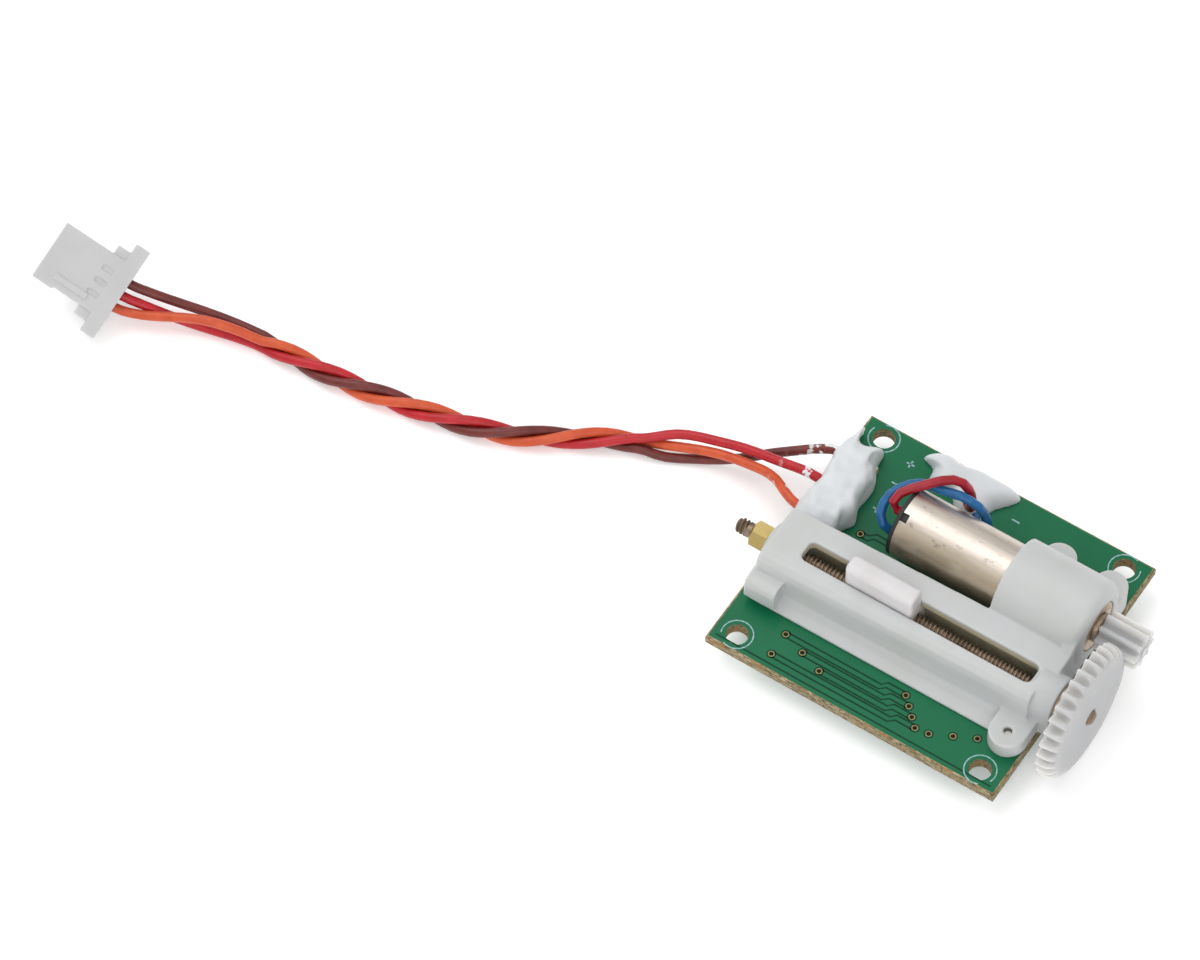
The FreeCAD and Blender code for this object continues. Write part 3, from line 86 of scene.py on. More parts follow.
class Paint:
    """A procedural material; its patterns are laid out in millimetres of the row frame."""

    def __init__(self, name):
        self.material = bpy.data.materials.new(name)
        self.material.use_nodes = True
        self.tree = self.material.node_tree
        self.shader = self.tree.nodes["Principled BSDF"]
        coords = self.node("ShaderNodeTexCoord").outputs["Object"]
        self.place = self.vector("SCALE", coords, scale=1 / MM)
        self.normal = None

    def node(self, kind, **settings):
        made = self.tree.nodes.new(kind)
        for key, value in settings.items():
            setattr(made, key, value)
        return made

    def feed(self, socket, value):
        """Connect an output socket, or set a plain value."""
        if hasattr(value, "is_linked"):
            self.tree.links.new(value, socket)
        elif isinstance(value, (tuple, list)) and len(value) == 3 and socket.type == "RGBA":
            socket.default_value = (*value, 1)
        else:
            socket.default_value = value

    def vector(self, operation, a, b=None, scale=None):
        made = self.node("ShaderNodeVectorMath", operation=operation)
        self.feed(made.inputs[0], a)
        if b is not None:
            self.feed(made.inputs[1], b)
        if scale is not None:
            self.feed(made.inputs["Scale"], scale)
        return made.outputs["Vector"]

    def math(self, operation, a, b=0.0, c=0.0):
        made = self.node("ShaderNodeMath", operation=operation)
        for socket, value in zip(made.inputs, (a, b, c)):
            self.feed(socket, value)
        return made.outputs[0]

    def stretched(self, x, y, z):
        return self.vector("MULTIPLY", self.place, (x, y, z))

    def noise(self, scale, detail=4.0, roughness=0.55, place=None, distortion=0.0):
        made = self.node("ShaderNodeTexNoise")
        self.feed(made.inputs["Vector"], place or self.place)
        self.feed(made.inputs["Scale"], scale)
        self.feed(made.inputs["Detail"], detail)
        self.feed(made.inputs["Roughness"], roughness)
        self.feed(made.inputs["Distortion"], distortion)
        return made.outputs["Fac"]

    def span(self, value, low, high, to_low=0.0, to_high=1.0):
        """Map a range of values to another, with smooth ends."""
        made = self.node("ShaderNodeMapRange", interpolation_type="SMOOTHSTEP")
        for socket, number in zip(made.inputs, (value, low, high, to_low, to_high)):
            self.feed(socket, number)
        return made.outputs[0]

    def mix(self, share, a, b):
        made = self.node("ShaderNodeMix", data_type="RGBA")
        self.feed(made.inputs["Factor"], share)
        self.feed(made.inputs["A"], a)
        self.feed(made.inputs["B"], b)
        return made.outputs["Result"]

    def axis(self, index, source=None):
        made = self.node("ShaderNodeSeparateXYZ")
        self.feed(made.inputs[0], source or self.place)
        return made.outputs[index]

    def round_edges(self, radius):
        """Shade sharp edges as if they had a small radius."""
        made = self.node("ShaderNodeBevel", samples=4)
        self.feed(made.inputs["Radius"], radius * MM)
        self.normal = made.outputs["Normal"]

    def bump(self, height, strength, depth=0.02):
        made = self.node("ShaderNodeBump")
        self.feed(made.inputs["Height"], height)
        self.feed(made.inputs["Strength"], strength)
        self.feed(made.inputs["Distance"], depth * MM)
        if self.normal is not None:
            self.feed(made.inputs["Normal"], self.normal)
        self.normal = made.outputs["Normal"]

    def finish(self, **values):
        """Set the shader's inputs; a double underscore in a name stands for a space."""
        for key, value in values.items():
            self.feed(self.shader.inputs[key.replace("__", " ")], value)
        if self.normal is not None:
            self.feed(self.shader.inputs["Normal"], self.normal)
        return self.material


def paint_moulding(name, light, warm, scatter):
    """White moulded plastic: faint mottling, fine tool texture and soft light inside."""
    p = Paint(name)
    p.round_edges(0.06)
    cloud = p.noise(0.55, 3.0)
    colour = p.mix(p.span(cloud, 0.35, 0.7), light, warm)
    specks = p.span(p.noise(9.0, 2.0), 0.66, 0.8)
    colour = p.mix(p.math("MULTIPLY", specks, 0.16), colour, (0.62, 0.6, 0.54))
    p.bump(p.noise(26.0, 3.0, 0.6), 0.1, 0.012)
    p.bump(p.noise(1.1, 2.0), 0.1, 0.05)
    rough = p.span(p.noise(3.0, 3.0), 0.3, 0.7, 0.36, 0.52)
    return p, dict(Base__Color=colour, Roughness=rough, Subsurface__Weight=scatter,
                   Subsurface__Radius=(1.0, 0.9, 0.75), Subsurface__Scale=0.5 * MM)


def paint_frame():
    """The frame's plastic, with lubricant, dust and painted shade darkening inside its slot."""
    p, values = paint_moulding("frame_plastic", (0.49, 0.50, 0.505), (0.475, 0.485, 0.475), 0.4)
    half_width, soft_side = 1.26, 0.06
    rail_top, soft_top = float(screw_high[2]) + 0.69, 0.3
    left, right, soft_end = float(frame_low[0]) + 1.85, float(frame_high[0]) - 1.65, 0.5
    across = p.math("ABSOLUTE", p.math("SUBTRACT", p.axis(1), SCREW_Y))
    inside = p.math("MULTIPLY", p.span(across, half_width, half_width - soft_side),
                    p.span(p.axis(2), rail_top, rail_top - soft_top))
    ends = p.math("MULTIPLY", p.span(p.axis(0), left, left + soft_end),
                  p.span(p.axis(0), right, right - soft_end))
    shade = p.math("MULTIPLY", inside, ends)
    # Painted shade with some lubricant and dirt: inside the slot, below the rail top and short of its ends,
    # the plastic is pulled toward olive brown.
    grease_and_shade = p.mix(p.noise(1.6, 4.0), (0.66, 0.60, 0.42), (0.48, 0.42, 0.27))
    values["Base__Color"] = p.mix(p.math("MULTIPLY", shade, 0.92), values["Base__Color"], grease_and_shade)
    return p.finish(**values)


def paint_metal(name, light, dark, rough, stretch=(1, 1, 1), fine=14.0, stain=None, bump=0.1):
    """Metal with drawn or turned lines, uneven polish and, where wanted, stains."""
    p = Paint(name)
    p.round_edges(0.03)
    lines = p.noise(fine, 5.0, 0.65, place=p.stretched(*stretch))
    cloud = p.noise(0.9, 4.0, distortion=0.4)
    colour = p.mix(p.span(lines, 0.3, 0.7), dark, light)
    if stain:
        colour = p.mix(p.math("MULTIPLY", p.span(cloud, 0.48, 0.66), 0.55), colour, stain)
    worn = p.span(lines, 0.35, 0.7, rough * 0.75, rough * 1.3)
    roughness = p.math("ADD", worn, p.span(cloud, 0.4, 0.7, 0, 0.08))
    p.bump(lines, bump, 0.01)
    return p.finish(Base__Color=colour, Metallic=1.0, Roughness=roughness)


def paint_can():
    """Drawn plated steel: nearly smooth, with a painted olive-brown reflection along its front side and
    faint rub marks round its side.
    """
    p = Paint("plated_can")
    p.round_edges(0.05)
    middle = (can_low + can_high) / 2
    reflection_start, reflection_full = middle[1] - 0.7, middle[1] - 1.5
    lines = p.noise(5.0, 4.0, 0.6, place=p.stretched(0.1, 1, 1))
    cloud = p.noise(0.5, 4.0, distortion=0.8)
    colour = p.mix(p.span(lines, 0.3, 0.7), (0.56, 0.50, 0.44), (0.63, 0.57, 0.505))
    # Painted reflection: toward its front side the can is pulled toward dark olive brown, standing for the
    # board and wires mirrored in it.
    painted_reflection = p.math("MULTIPLY", p.span(p.axis(1), reflection_start, reflection_full), 0.75)
    colour = p.mix(painted_reflection, colour, (0.42, 0.35, 0.24))
    colour = p.mix(p.math("MULTIPLY", p.span(cloud, 0.5, 0.62), 0.25), colour, (0.60, 0.55, 0.46))
    rubs = p.span(p.noise(2.4, 6.0, 0.75, place=p.stretched(0.5, 1, 1)), 0.58, 0.66)
    colour = p.mix(p.math("MULTIPLY", rubs, 0.55), colour, (0.20, 0.17, 0.14))
    rough = p.math("ADD", p.span(lines, 0.35, 0.7, 0.33, 0.42), p.span(cloud, 0.4, 0.7, 0, 0.1))
    p.bump(lines, 0.03, 0.01)
    return p.finish(Base__Color=colour, Metallic=1.0, Roughness=rough)


def paint_wire(name, light, dark, smear=False):
    """Extruded insulation: faint unevenness, small scuffs, a soft gloss and smears of adhesive."""
    p = Paint(name)
    cloud = p.noise(1.3, 3.0)
    colour = p.mix(p.span(cloud, 0.35, 0.65), light, dark)
    if smear:
        glue_edge = float(cable_low[0])
        near = p.span(p.axis(0), glue_edge - 2.675, glue_edge - 0.575)
        patches = p.span(p.noise(1.4, 2.0), 0.56, 0.6)
        colour = p.mix(p.math("MULTIPLY", near, patches), colour, (0.68, 0.70, 0.71))
    dust = p.span(p.noise(16.0, 3.0), 0.68, 0.8)
    colour = p.mix(p.math("MULTIPLY", dust, 0.12), colour, (0.75, 0.7, 0.66))
    p.bump(p.noise(5.0, 4.0), 0.12, 0.03)
    rough = p.span(p.noise(4.0, 3.0), 0.3, 0.7, 0.3, 0.46)
    return p.finish(Base__Color=colour, Roughness=rough, Subsurface__Weight=0.08,
                    Subsurface__Scale=0.1 * MM, Coat__Weight=0.08, Coat__Roughness=0.3,
                    Specular__IOR__Level=0.35)


def paint_glue():
    """Cured white adhesive: smooth skin, faint dimples and a soft sheen."""
    p = Paint("white_adhesive")
    cloud = p.noise(0.8, 3.0)
    colour = p.mix(cloud, (0.63, 0.65, 0.665), (0.58, 0.60, 0.615))
    p.bump(p.noise(0.9, 2.0), 0.25, 0.12)
    p.bump(p.noise(5.0, 3.0), 0.06, 0.03)
    rough = p.span(p.noise(2.2, 3.0), 0.3, 0.7, 0.34, 0.5)
    return p.finish(Base__Color=colour, Roughness=rough, Subsurface__Weight=0.5,
                    Subsurface__Radius=(1.0, 0.95, 0.9), Subsurface__Scale=0.6 * MM)


def paint_board():
    """Green solder mask on the faces and bare glass laminate on the edges and hole walls."""
    p = Paint("board_mask_and_laminate")
    normal = p.node("ShaderNodeNewGeometry").outputs["True Normal"]
    upright = p.math("ABSOLUTE", p.axis(2, normal))
    face = p.span(upright, 0.9, 0.97)
    weave = p.node("ShaderNodeTexWave", bands_direction="DIAGONAL")
    p.feed(weave.inputs["Vector"], p.place)
    p.feed(weave.inputs["Scale"], 3.2)
    p.feed(weave.inputs["Distortion"], 1.4)
    mask = p.mix(p.noise(0.45, 3.0), (0.002, 0.105, 0.042), (0.004, 0.135, 0.055))
    mask = p.mix(p.math("MULTIPLY", weave.outputs["Fac"], 0.12), mask, (0.008, 0.165, 0.066))
    specks = p.span(p.noise(22.0, 2.0), 0.7, 0.82)
    mask = p.mix(p.math("MULTIPLY", specks, 0.25), mask, (0.12, 0.30, 0.17))
    plies = p.noise(7.0, 5.0, 0.65, place=p.stretched(0.3, 0.3, 3.2), distortion=0.5)
    edge = p.mix(p.span(plies, 0.36, 0.66), (0.12, 0.09, 0.04), (0.44, 0.37, 0.23))
    burnt = p.span(p.noise(1.3, 4.0, 0.7), 0.5, 0.62)
    edge = p.mix(p.math("MULTIPLY", burnt, 0.6), edge, (0.30, 0.16, 0.05))
    pits = p.span(p.noise(5.0, 5.0, 0.7), 0.52, 0.62)
    edge = p.mix(p.math("MULTIPLY", pits, 0.75), edge, (0.06, 0.05, 0.03))
    p.bump(p.noise(0.7, 2.0), 0.06, 0.05)
    p.bump(p.math("MULTIPLY", plies, p.math("SUBTRACT", 1.0, face)), 0.6, 0.05)
    rough = p.mix(face, (0.75, 0.75, 0.75), (0.3, 0.3, 0.3))
    return p.finish(Base__Color=p.mix(face, edge, mask), Roughness=rough, Specular__IOR__Level=0.22)


def paint_ink(name, light, dark, rough=0.5):
    """Printed or plated layer with a worn, uneven surface; the dark via discs use it as painted shade."""
    p = Paint(name)
    colour = p.mix(p.span(p.noise(6.0, 4.0), 0.35, 0.68), light, dark)
    p.bump(p.noise(12.0, 3.0), 0.15, 0.01)
    return p.finish(Base__Color=colour, Roughness=rough, Specular__IOR__Level=0.15)


def paint_dark(name, base, light, rough):
    """Black or grey moulded part with a fine matt grain."""
    p = Paint(name)
    p.round_edges(0.04)
    colour = p.mix(p.span(p.noise(7.0, 4.0), 0.3, 0.75), base, light)
    p.bump(p.noise(30.0, 3.0), 0.2, 0.01)
    roughness = p.span(p.noise(5.0, 3.0), 0.3, 0.7, rough, rough + 0.15)
    return p.finish(Base__Color=colour, Roughness=roughness)


def paint_floor():
    """Pale, slightly uneven sweep under the object."""
    p = Paint("pale_floor")
    colour = p.mix(p.noise(0.02, 3.0), (0.93, 0.93, 0.93), (0.92, 0.92, 0.925))
    p.bump(p.noise(0.8, 3.0), 0.03, 0.05)
    return p.finish(Base__Color=colour, Roughness=0.8, Emission__Color=colour, Emission__Strength=0.22)


def paint_gears():
    """Milky gear plastic; a faint glow stands in for light that scatters inside the teeth."""
    p, values = paint_moulding("gear_plastic", (0.33, 0.335, 0.34), (0.315, 0.32, 0.325), 1.0)
    values.update(Subsurface__Scale=2.4 * MM, Specular__IOR__Level=0.15, Roughness=0.65,
                  Emission__Color=(0.40, 0.40, 0.41), Emission__Strength=0.22)
    return p.finish(**values)


def paint_slider():
    p, values = paint_moulding("slider_plastic", (0.61, 0.60, 0.605), (0.575, 0.555, 0.555), 0.6)
    return p.finish(**values)


def paint_plug():
    p, values = paint_moulding("plug_plastic", (0.49, 0.485, 0.49), (0.465, 0.46, 0.465), 0.35)
    return p.finish(**values)


MATERIALS = {
    "frame": paint_frame(),
    "gear": paint_gears(),
    "slider": paint_slider(),
    "plug": paint_plug(),
    "board": paint_board(),
    "can": paint_can(),
    "brass": paint_metal("turned_brass", (0.56, 0.44, 0.18), (0.42, 0.315, 0.115), 0.34, (6, 1, 1), 8.0,
                         stain=(0.34, 0.27, 0.12)),
    "bronze": paint_metal("dark_bronze", (0.36, 0.285, 0.215), (0.16, 0.115, 0.08), 0.5, (1, 1, 1), 9.0,
                          stain=(0.09, 0.06, 0.035)),
    "sintered": paint_metal("sintered_bronze", (0.70, 0.58, 0.46), (0.42, 0.33, 0.245), 0.5,
                            stain=(0.24, 0.175, 0.115), bump=0.4),
    "steel": paint_metal("ground_steel", (0.58, 0.57, 0.55), (0.40, 0.39, 0.37), 0.28, (8, 1, 1), 7.0),
    "copper": paint_metal("copper", (0.80, 0.42, 0.24), (0.62, 0.28, 0.15), 0.35, (8, 1, 1), 6.0),
    "tin": paint_metal("tinned_metal", (0.78, 0.77, 0.74), (0.6, 0.59, 0.57), 0.3, (1, 1, 1), 11.0),
    "magnet": paint_metal("ground_magnet", (0.4, 0.4, 0.41), (0.26, 0.26, 0.27), 0.4, (1, 1, 1), 14.0),
    "gold": paint_metal("plated_gold", (0.45, 0.35, 0.16), (0.26, 0.19, 0.08), 0.45, (1, 1, 1), 9.0),
    "brown": paint_wire("brown_insulation", (0.15, 0.022, 0.018), (0.11, 0.015, 0.012), True),
    "red": paint_wire("red_insulation", (0.46, 0.010, 0.018), (0.38, 0.007, 0.013), True),
    "orange": paint_wire("orange_insulation", (0.57, 0.085, 0.024), (0.50, 0.065, 0.018), True),
    "blue": paint_wire("blue_insulation", (0.008, 0.115, 0.30), (0.005, 0.085, 0.23)),
    "motor_red": paint_wire("motor_red_insulation", (0.34, 0.008, 0.02), (0.27, 0.005, 0.014)),
    "glue": paint_glue(),
    "black": paint_dark("black_moulding", (0.006, 0.006, 0.006), (0.018, 0.017, 0.016), 0.5),
    "epoxy": paint_dark("chip_epoxy", (0.02, 0.02, 0.022), (0.06, 0.06, 0.062), 0.5),
    "tan": paint_dark("tan_ceramic", (0.42, 0.31, 0.19), (0.55, 0.42, 0.27), 0.45),
    "carbon": paint_ink("printed_carbon", (0.03, 0.03, 0.03), (0.07, 0.07, 0.07), 0.6),
    "silk": paint_ink("white_ink", (0.36, 0.52, 0.54), (0.15, 0.32, 0.31), 0.55),
    "gap": paint_ink("mask_over_bare_laminate", (0.001, 0.034, 0.015), (0.002, 0.05, 0.022), 0.5),
    # painted shade: near-black discs standing for the shaded insides of the via holes
    "hole": paint_ink("painted_via_hole_shade", (0.016, 0.011, 0.005), (0.008, 0.006, 0.003), 0.6),
}
NODE_PAINT = {
    "circuit_board": "board", "resistive_track": "carbon", "servo_frame": "frame", "slider": "slider",
    "wiper_contact": "gold", "lead_screw": "bronze", "retaining_nut": "brass",
    "lead_screw_bush": "sintered", "thrust_collar": "bronze", "screw_gear": "gear",
    "motor_pinion": "gear", "motor_can": "can",
    "motor_end_cap": "black", "motor_front_bush": "sintered", "motor_rear_bush": "sintered",
    "motor_magnet": "magnet", "motor_coil": "copper", "motor_hub": "black",
    "motor_commutator": "copper",
    "motor_brushes": "gold", "motor_shaft": "steel", "motor_wire_blue": "blue",
    "motor_wire_red": "motor_red", "lead_wire_brown": "brown", "lead_wire_red": "red",
    "lead_wire_orange": "orange", "plug_housing": "plug", "plug_terminals": "tin", "cable_glue": "glue",
    "motor_wire_glue": "glue", "controller_chip": "epoxy", "controller_legs": "tin",
    "motor_driver_chip": "epoxy", "motor_driver_legs": "tin", "board_capacitors": "tan",
    "board_resistors": "epoxy", "solder_joints": "tin", "frame_screws": "steel",
}


def dress(thing, paint):
    thing.data.materials.clear()
    thing.data.materials.append(MATERIALS[paint])


for node_name, paint_name in NODE_PAINT.items():
    dress(nodes[node_name], paint_name)
BODY_OF = {name: body for body, names in record["behaviour"]["bodies"].items() for name in names}


# ---------------------------------------------------------------- mesh helpers

def add_mesh(name, points, faces, paint, smooth=True):
    """New object from points in millimetres."""
    mesh = bpy.data.meshes.new(name)
    mesh.from_pydata([tuple(float(c) * MM for c in point) for point in points], [], faces)
    mesh.validate()
    thing = bpy.data.objects.new(name, mesh)
    bpy.context.scene.collection.objects.link(thing)
    for polygon in mesh.polygons:
        polygon.use_smooth = smooth
    dress(thing, paint)
    return thing


def stand_for(thing, node):
    """Let a new piece stand for a CAD node, on the same body."""
    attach(thing, BODY_OF[node])
    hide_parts(node)
    return thing


def remoulded(node, name, paint, voxel, passes):
    """Copy of a CAD node with an even skin and softened edges."""
    source = nodes[node]
    thing = bpy.data.objects.new(name, source.data.copy())
    bpy.context.scene.collection.objects.link(thing)
    remesh = thing.modifiers.new("even", "REMESH")
    remesh.mode = "VOXEL"
    remesh.voxel_size = voxel * MM
    relax = thing.modifiers.new("relax", "SMOOTH")
    relax.factor = 0.5
    relax.iterations = passes
    bpy.context.view_layer.update()
    evaluated = thing.evaluated_get(bpy.context.evaluated_depsgraph_get())
    mesh = bpy.data.meshes.new_from_object(evaluated)
    thing.modifiers.clear()
    thing.data = mesh
    for polygon in mesh.polygons:
        polygon.use_smooth = True
    dress(thing, paint)
    return stand_for(thing, node)


# ---------------------------------------------------------------- mouldings

remoulded("servo_frame", "frame_moulding", "frame", voxel=0.06, passes=9)
remoulded("slider", "slider_block", "slider", voxel=0.045, passes=10)
remoulded("screw_gear", "gear_wheel", "gear", voxel=0.045, passes=26)
remoulded("motor_pinion", "pinion", "gear", voxel=0.03, passes=16)
remoulded("plug_housing", "plug_body", "plug", voxel=0.045, passes=3)


# ---------------------------------------------------------------- lead screw with its thread

def threaded_rod():
    """Right-hand thread on the whole travel, plain journal through the bush and gear."""
    middle = (screw_low + screw_high) / 2
    major = (screw_high[2] - screw_low[2]) / 2 - 0.003
    minor = major - 0.11
    journal = major - 0.02
    journal_start = box("lead_screw_bush")[0][0] - 0.05
    nut_low, nut_high = box("retaining_nut")
    under_nut = nut_low[0] - 0.35, nut_high[0] + 0.1
    crest, flank = 0.12, 0.2
    dome, tip_share, tip_least = 0.3, 0.6, 0.02
    pitch, steps_per_turn, sides = 0.25, 9, 28
    stations = np.arange(screw_low[0], screw_high[0] + 1e-6, pitch / steps_per_turn)
    points = []
    for x in stations:
        for i in range(sides):
            angle = 2 * math.pi * i / sides
            phase = (x / pitch - angle / (2 * math.pi)) % 1
            ridge = min(max((0.5 - abs(phase - 0.5) - crest) / flank, 0), 1)
            ridge = ridge * ridge * (3 - 2 * ridge)
            reach = minor + (major - minor) * ridge
            if x > journal_start or under_nut[0] < x < under_nut[1]:
                reach = journal
            tip = min(x - screw_low[0], screw_high[0] - x)
            if tip < dome:
                bulge = math.sqrt(max(1 - (1 - tip / dome) ** 2, tip_least))
                reach *= bulge * tip_share + 1 - tip_share
            points.append((x, middle[1] + reach * math.cos(angle), middle[2] + reach * math.sin(angle)))
    faces = []
    for ring in range(len(stations) - 1):
        for i in range(sides):
            j = (i + 1) % sides
            a, b = ring * sides, (ring + 1) * sides
            faces.append((a + i, a + j, b + j, b + i))
    faces.append(tuple(range(sides))[::-1])
    end = (len(stations) - 1) * sides
    faces.append(tuple(range(end, end + sides)))
    return stand_for(add_mesh("screw_thread", points, faces, "bronze"), "lead_screw")


threaded_rod()


# ---------------------------------------------------------------- wires

# The skins follow the CAD wires, so their paths are stated only in the CAD.
WIRE_VOXEL, WIRE_PASSES = 0.07, 4
WIRES = {
    "lead_wire_brown": "brown", "lead_wire_red": "red", "lead_wire_orange": "orange",
    "motor_wire_blue": "blue", "motor_wire_red": "motor_red",
}
for wire, paint in WIRES.items():
    remoulded(wire, f"{wire}_skin", paint, WIRE_VOXEL, WIRE_PASSES)


# ---------------------------------------------------------------- glue

def lumpy(node, name, voxel, height, scale):
    """Copy of a glue mound with a slumped, lumpy skin that calms down toward the board."""
    full_lumps_at, least_lump, finer = 1.5, 0.25, 2.3
    thing = remoulded(node, name, "glue", voxel, 6)
    for vertex in thing.data.vertices:
        place = vertex.co / MM
        lump = noise.noise(place * scale) + 0.5 * noise.noise(place * scale * finer)
        rise = max(place.z - BOARD_TOP, 0) / full_lumps_at
        vertex.co += vertex.normal * (height * lump * min(rise + least_lump, 1)) * MM
        vertex.co.z = max(vertex.co.z, BOARD_TOP * MM)


lumpy("cable_glue", "cable_glue_mound", voxel=0.1, height=0.16, scale=0.7)
lumpy("motor_wire_glue", "motor_glue_mound", voxel=0.08, height=0.07, scale=0.6)


# ---------------------------------------------------------------- print on the board

def flat_ring(centre, inner, outer, thick, start=0.0, stop=360.0):
    """Thin flat ring, or an arc of one, lying on the board."""
    z = BOARD_TOP
    steps = 48
    closed = stop - start >= 360
    angles = np.radians(np.linspace(start, stop, steps + 1))
    points = []
    for angle in angles:
        for reach, height in ((inner, z), (inner, z + thick), (outer, z + thick), (outer, z)):
            points.append((centre[0] + reach * math.cos(angle), centre[1] + reach * math.sin(angle), height))
    faces = []
    for i in range(steps):
        for k in range(4):
            a, b = i * 4 + k, i * 4 + (k + 1) % 4
            faces.append((a, b, b + 4, a + 4))
    if not closed:
        faces.append((0, 1, 2, 3))
        faces.append((steps * 4 + 3, steps * 4 + 2, steps * 4 + 1, steps * 4))
    return points, faces


def flat_strip(corners, width, thick):
    """Thin flat ribbon on the board, along a bent line."""
    z = BOARD_TOP
    line = np.array(corners, float)
    points, faces = [], []
    for index, here in enumerate(line):
        before = line[max(index - 1, 0)]
        after = line[min(index + 1, len(line) - 1)]
        ahead = (after - before) / np.linalg.norm(after - before)
        side = np.array([-ahead[1], ahead[0]]) * width / 2
        for offset, height in ((-side, z), (-side, z + thick), (side, z + thick), (side, z)):
            points.append((*(here + offset), height))
    for i in range(len(line) - 1):
        for k in range(4):
            a, b = i * 4 + k, i * 4 + (k + 1) % 4
            faces.append((a, b, b + 4, a + 4))
    last = (len(line) - 1) * 4
    faces.append((0, 1, 2, 3))
    faces.append((last + 3, last + 2, last + 1, last))
    return points, faces


def join(name, pieces, paint, body):
    """One object out of several point and face lists."""
    points, faces = [], []
    for piece_points, piece_faces in pieces:
        shift = len(points)
        points += piece_points
        faces += [tuple(i + shift for i in face) for face in piece_faces]
    thing = add_mesh(name, points, faces, paint, smooth=False)
    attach(thing, body)
    return thing


SIGN_ARM = 0.25
INK_WIDTH, INK_THICK = 0.1, 0.012
RING_INNER, RING_OUTER, RING_OPEN = 0.875, 0.945, 22


def sign(x, y, plus):
    """Strokes of a plus or minus sign round a point."""
    strokes = [[(x - SIGN_ARM, y), (x + SIGN_ARM, y)]]
    if plus:
        strokes.append([(x, y - SIGN_ARM), (x, y + SIGN_ARM)])
    return [flat_strip(stroke, INK_WIDTH, INK_THICK) for stroke in strokes]


pattern = next(mount["dims"] for mount in record["mounts"] if mount["name"] == "board_holes")

silkscreen = []
for x in (-pattern["spacing_x_mm"] / 2, pattern["spacing_x_mm"] / 2):
    for y in (-pattern["spacing_y_mm"] / 2, pattern["spacing_y_mm"] / 2):
        outward = math.degrees(math.atan2(y, x))
        start, stop = outward + RING_OPEN, outward + 360 - RING_OPEN
        silkscreen.append(flat_ring((x, y), RING_INNER, RING_OUTER, INK_THICK, start, stop))
beside_cable = cable_high[0] + 0.45
beside_motor = (motor_glue_low[1] + motor_glue_high[1]) / 2
silkscreen += sign(beside_cable, cable_high[1] - 2.1, False)
silkscreen += sign(beside_cable, (cable_low[1] + cable_high[1]) / 2, True)
silkscreen += sign(motor_glue_low[0] - 0.4, beside_motor, True)
silkscreen += sign(motor_glue_high[0] + 0.45, beside_motor, False)
join("board_silkscreen", silkscreen, "silk", "board")

# Traces run side by side along the front edge, then step toward the rail at 45 degrees.
TRACE_COUNT, TRACE_GAP, FIRST_TRACE = 4, 0.5, 1.0
FIRST_VIA, VIA_STAGGER = 3.7, 1.4
TRACE_BEND, TRACE_STEP, TRACE_TAIL = 2.0, 0.3, 1.2
LONE_VIAS, LONE_START, LONE_RISE, LONE_STEP = 3, -5.0, 1.4, (1.2, 0.6)


def front_trace(row):
    """Corners of one trace of the front group; each row bends a little earlier than the last."""
    y = board_low[1] + FIRST_TRACE + row * TRACE_GAP
    start = board_low[0] + FIRST_VIA + (row * 2 % 3) * VIA_STAGGER
    bend = TRACE_BEND - row * TRACE_GAP
    return [(start, y), (bend, y), (bend + TRACE_STEP, y + TRACE_STEP),
            (bend + TRACE_STEP + TRACE_TAIL, y + TRACE_STEP)]


traces = [front_trace(row) for row in range(TRACE_COUNT)]
vias = [end for trace in traces for end in (trace[0], trace[-1])]
for lone in range(LONE_VIAS):
    x = board_high[0] + LONE_START + LONE_STEP[0] * lone
    vias.append((x, board_low[1] + LONE_RISE + LONE_STEP[1] * lone))
vias.append((cable_high[0] + 1.0, cable_high[1] - 1.8))
rear_via = (cable_high[0] + 0.55, cable_low[1] + 2.2)
vias.append(rear_via)
rear_bend = rear_via[0] + 0.5
traces.append([rear_via, (rear_bend, rear_via[1]), (rear_bend + TRACE_STEP, rear_via[1] + TRACE_STEP),
               (can_low[0] + 0.5, rear_via[1] + TRACE_STEP)])

HOLE_RADIUS, PAD_INNER, PAD_OUTER = 0.14, 0.135, 0.185
HOLE_THICK, PAD_THICK = 0.008, 0.016
pads = [flat_ring(via, PAD_INNER, PAD_OUTER, PAD_THICK) for via in vias]
join("via_pads", pads, "gold", "board")
# Near-black discs on the vias are painted shade standing for the inside of the holes.
holes = [flat_ring(via, 0.0, HOLE_RADIUS, HOLE_THICK) for via in vias]
join("via_hole_shade", holes, "hole", "board")

# Each trace shows as two lines of darker mask over the bare laminate on either side of it.
GAP_OFFSET, GAP_WIDTH, GAP_THICK, EDGE_LINE = 0.17, 0.11, 0.006, 0.42
CLEAR_INNER, CLEAR_OUTER = 0.215, 0.28
gaps = []
for trace in traces:
    line = np.array(trace)
    ahead = np.gradient(line, axis=0)
    ahead /= np.linalg.norm(ahead, axis=1)[:, None]
    aside = np.stack([-ahead[:, 1], ahead[:, 0]], axis=1) * GAP_OFFSET
    gaps += [flat_strip(line + shift, GAP_WIDTH, GAP_THICK) for shift in (aside, -aside)]
gaps += [flat_ring(via, CLEAR_INNER, CLEAR_OUTER, GAP_THICK) for via in vias]
edge_y = board_low[1] + EDGE_LINE
border = [(board_low[0] + EDGE_LINE, edge_y), (board_high[0] - EDGE_LINE, edge_y)]
gaps.append(flat_strip(border, INK_WIDTH, GAP_THICK))
join("trace_gaps", gaps, "gap", "board")


# ---------------------------------------------------------------- stage, light and camera

def add_floor():
    """Pale floor at the height of the object's lowest point."""
    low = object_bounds()[0].z / MM
    reach = 900.0
    points = [(-reach, -reach, low), (reach, -reach, low), (reach, reach, low), (-reach, reach, low)]
    mesh = bpy.data.meshes.new("floor")
    mesh.from_pydata([tuple(c * MM for c in point) for point in points], [], [(0, 1, 2, 3)])
    floor = bpy.data.objects.new("floor", mesh)
    bpy.context.scene.collection.objects.link(floor)
    mesh.materials.append(paint_floor())


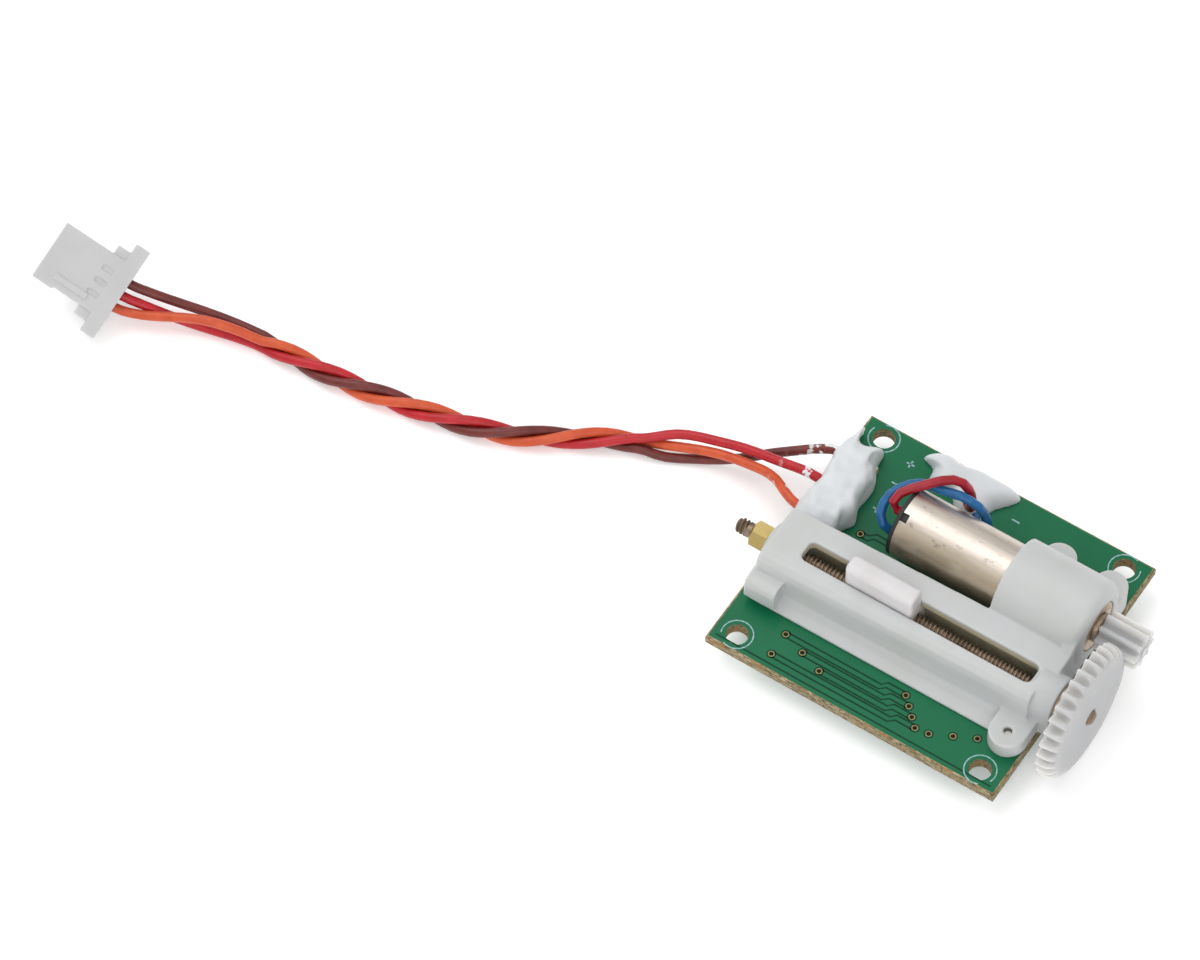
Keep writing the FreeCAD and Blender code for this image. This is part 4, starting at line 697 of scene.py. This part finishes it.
def add_lamp(name, place, size, power):
    """Round soft lamp that looks at the origin."""
    data = bpy.data.lights.new(name, "AREA")
    data.shape = "DISK"
    data.size = size * MM
    data.energy = power
    lamp = bpy.data.objects.new(name, data)
    lamp.location = Vector(place) * MM
    lamp.rotation_euler = (-lamp.location).to_track_quat("-Z", "Y").to_euler()
    bpy.context.scene.collection.objects.link(lamp)


def add_world():
    """Bright studio surround; reflections see a darker band low down."""
    world = bpy.data.worlds.new("studio")
    bpy.context.scene.world = world
    world.use_nodes = True
    tree = world.node_tree
    background = tree.nodes["Background"]
    coords = tree.nodes.new("ShaderNodeTexCoord")
    split = tree.nodes.new("ShaderNodeSeparateXYZ")
    tree.links.new(coords.outputs["Generated"], split.inputs[0])
    ramp = tree.nodes.new("ShaderNodeValToRGB")
    tree.links.new(split.outputs["Z"], ramp.inputs[0])
    ramp.color_ramp.elements[0].position = 0.0
    ramp.color_ramp.elements[0].color = (0.62, 0.61, 0.60, 1)
    ramp.color_ramp.elements[1].position = 0.75
    ramp.color_ramp.elements[1].color = (1, 1, 1, 1)
    tree.links.new(ramp.outputs[0], background.inputs["Color"])
    background.inputs["Strength"].default_value = 0.9


def add_camera():
    """Camera that looks down from the front right; its aim is off the board, toward the lead."""
    round_from_front, above_horizon = math.radians(33.18), math.radians(57.54)
    distance, aim_left, aim_up = 361.07, 18.41, 6.75
    level = math.cos(above_horizon)
    back = Vector((math.sin(round_from_front) * level, -math.cos(round_from_front) * level,
                   math.sin(above_horizon)))
    right = Vector((math.cos(round_from_front), math.sin(round_from_front), 0))
    up = back.cross(right)
    data = bpy.data.cameras.new("camera")
    data.lens = 195
    data.sensor_width = 36
    data.clip_start = 0.01
    data.clip_end = 10
    camera = bpy.data.objects.new("camera", data)
    place = Vector((0, 0, BOARD_TOP)) - aim_left * right + aim_up * up + distance * back
    camera.matrix_world = Matrix((
        (right.x, up.x, back.x, place.x * MM),
        (right.y, up.y, back.y, place.y * MM),
        (right.z, up.z, back.z, place.z * MM),
        (0, 0, 0, 1),
    ))
    bpy.context.scene.collection.objects.link(camera)
    bpy.context.scene.camera = camera


add_floor()
add_world()
add_lamp("key", (-240, 40, 430), size=420, power=0.85)
add_lamp("fill", (160, -300, 260), size=380, power=0.55)
add_camera()
bpy.context.scene.view_settings.view_transform = "Standard"
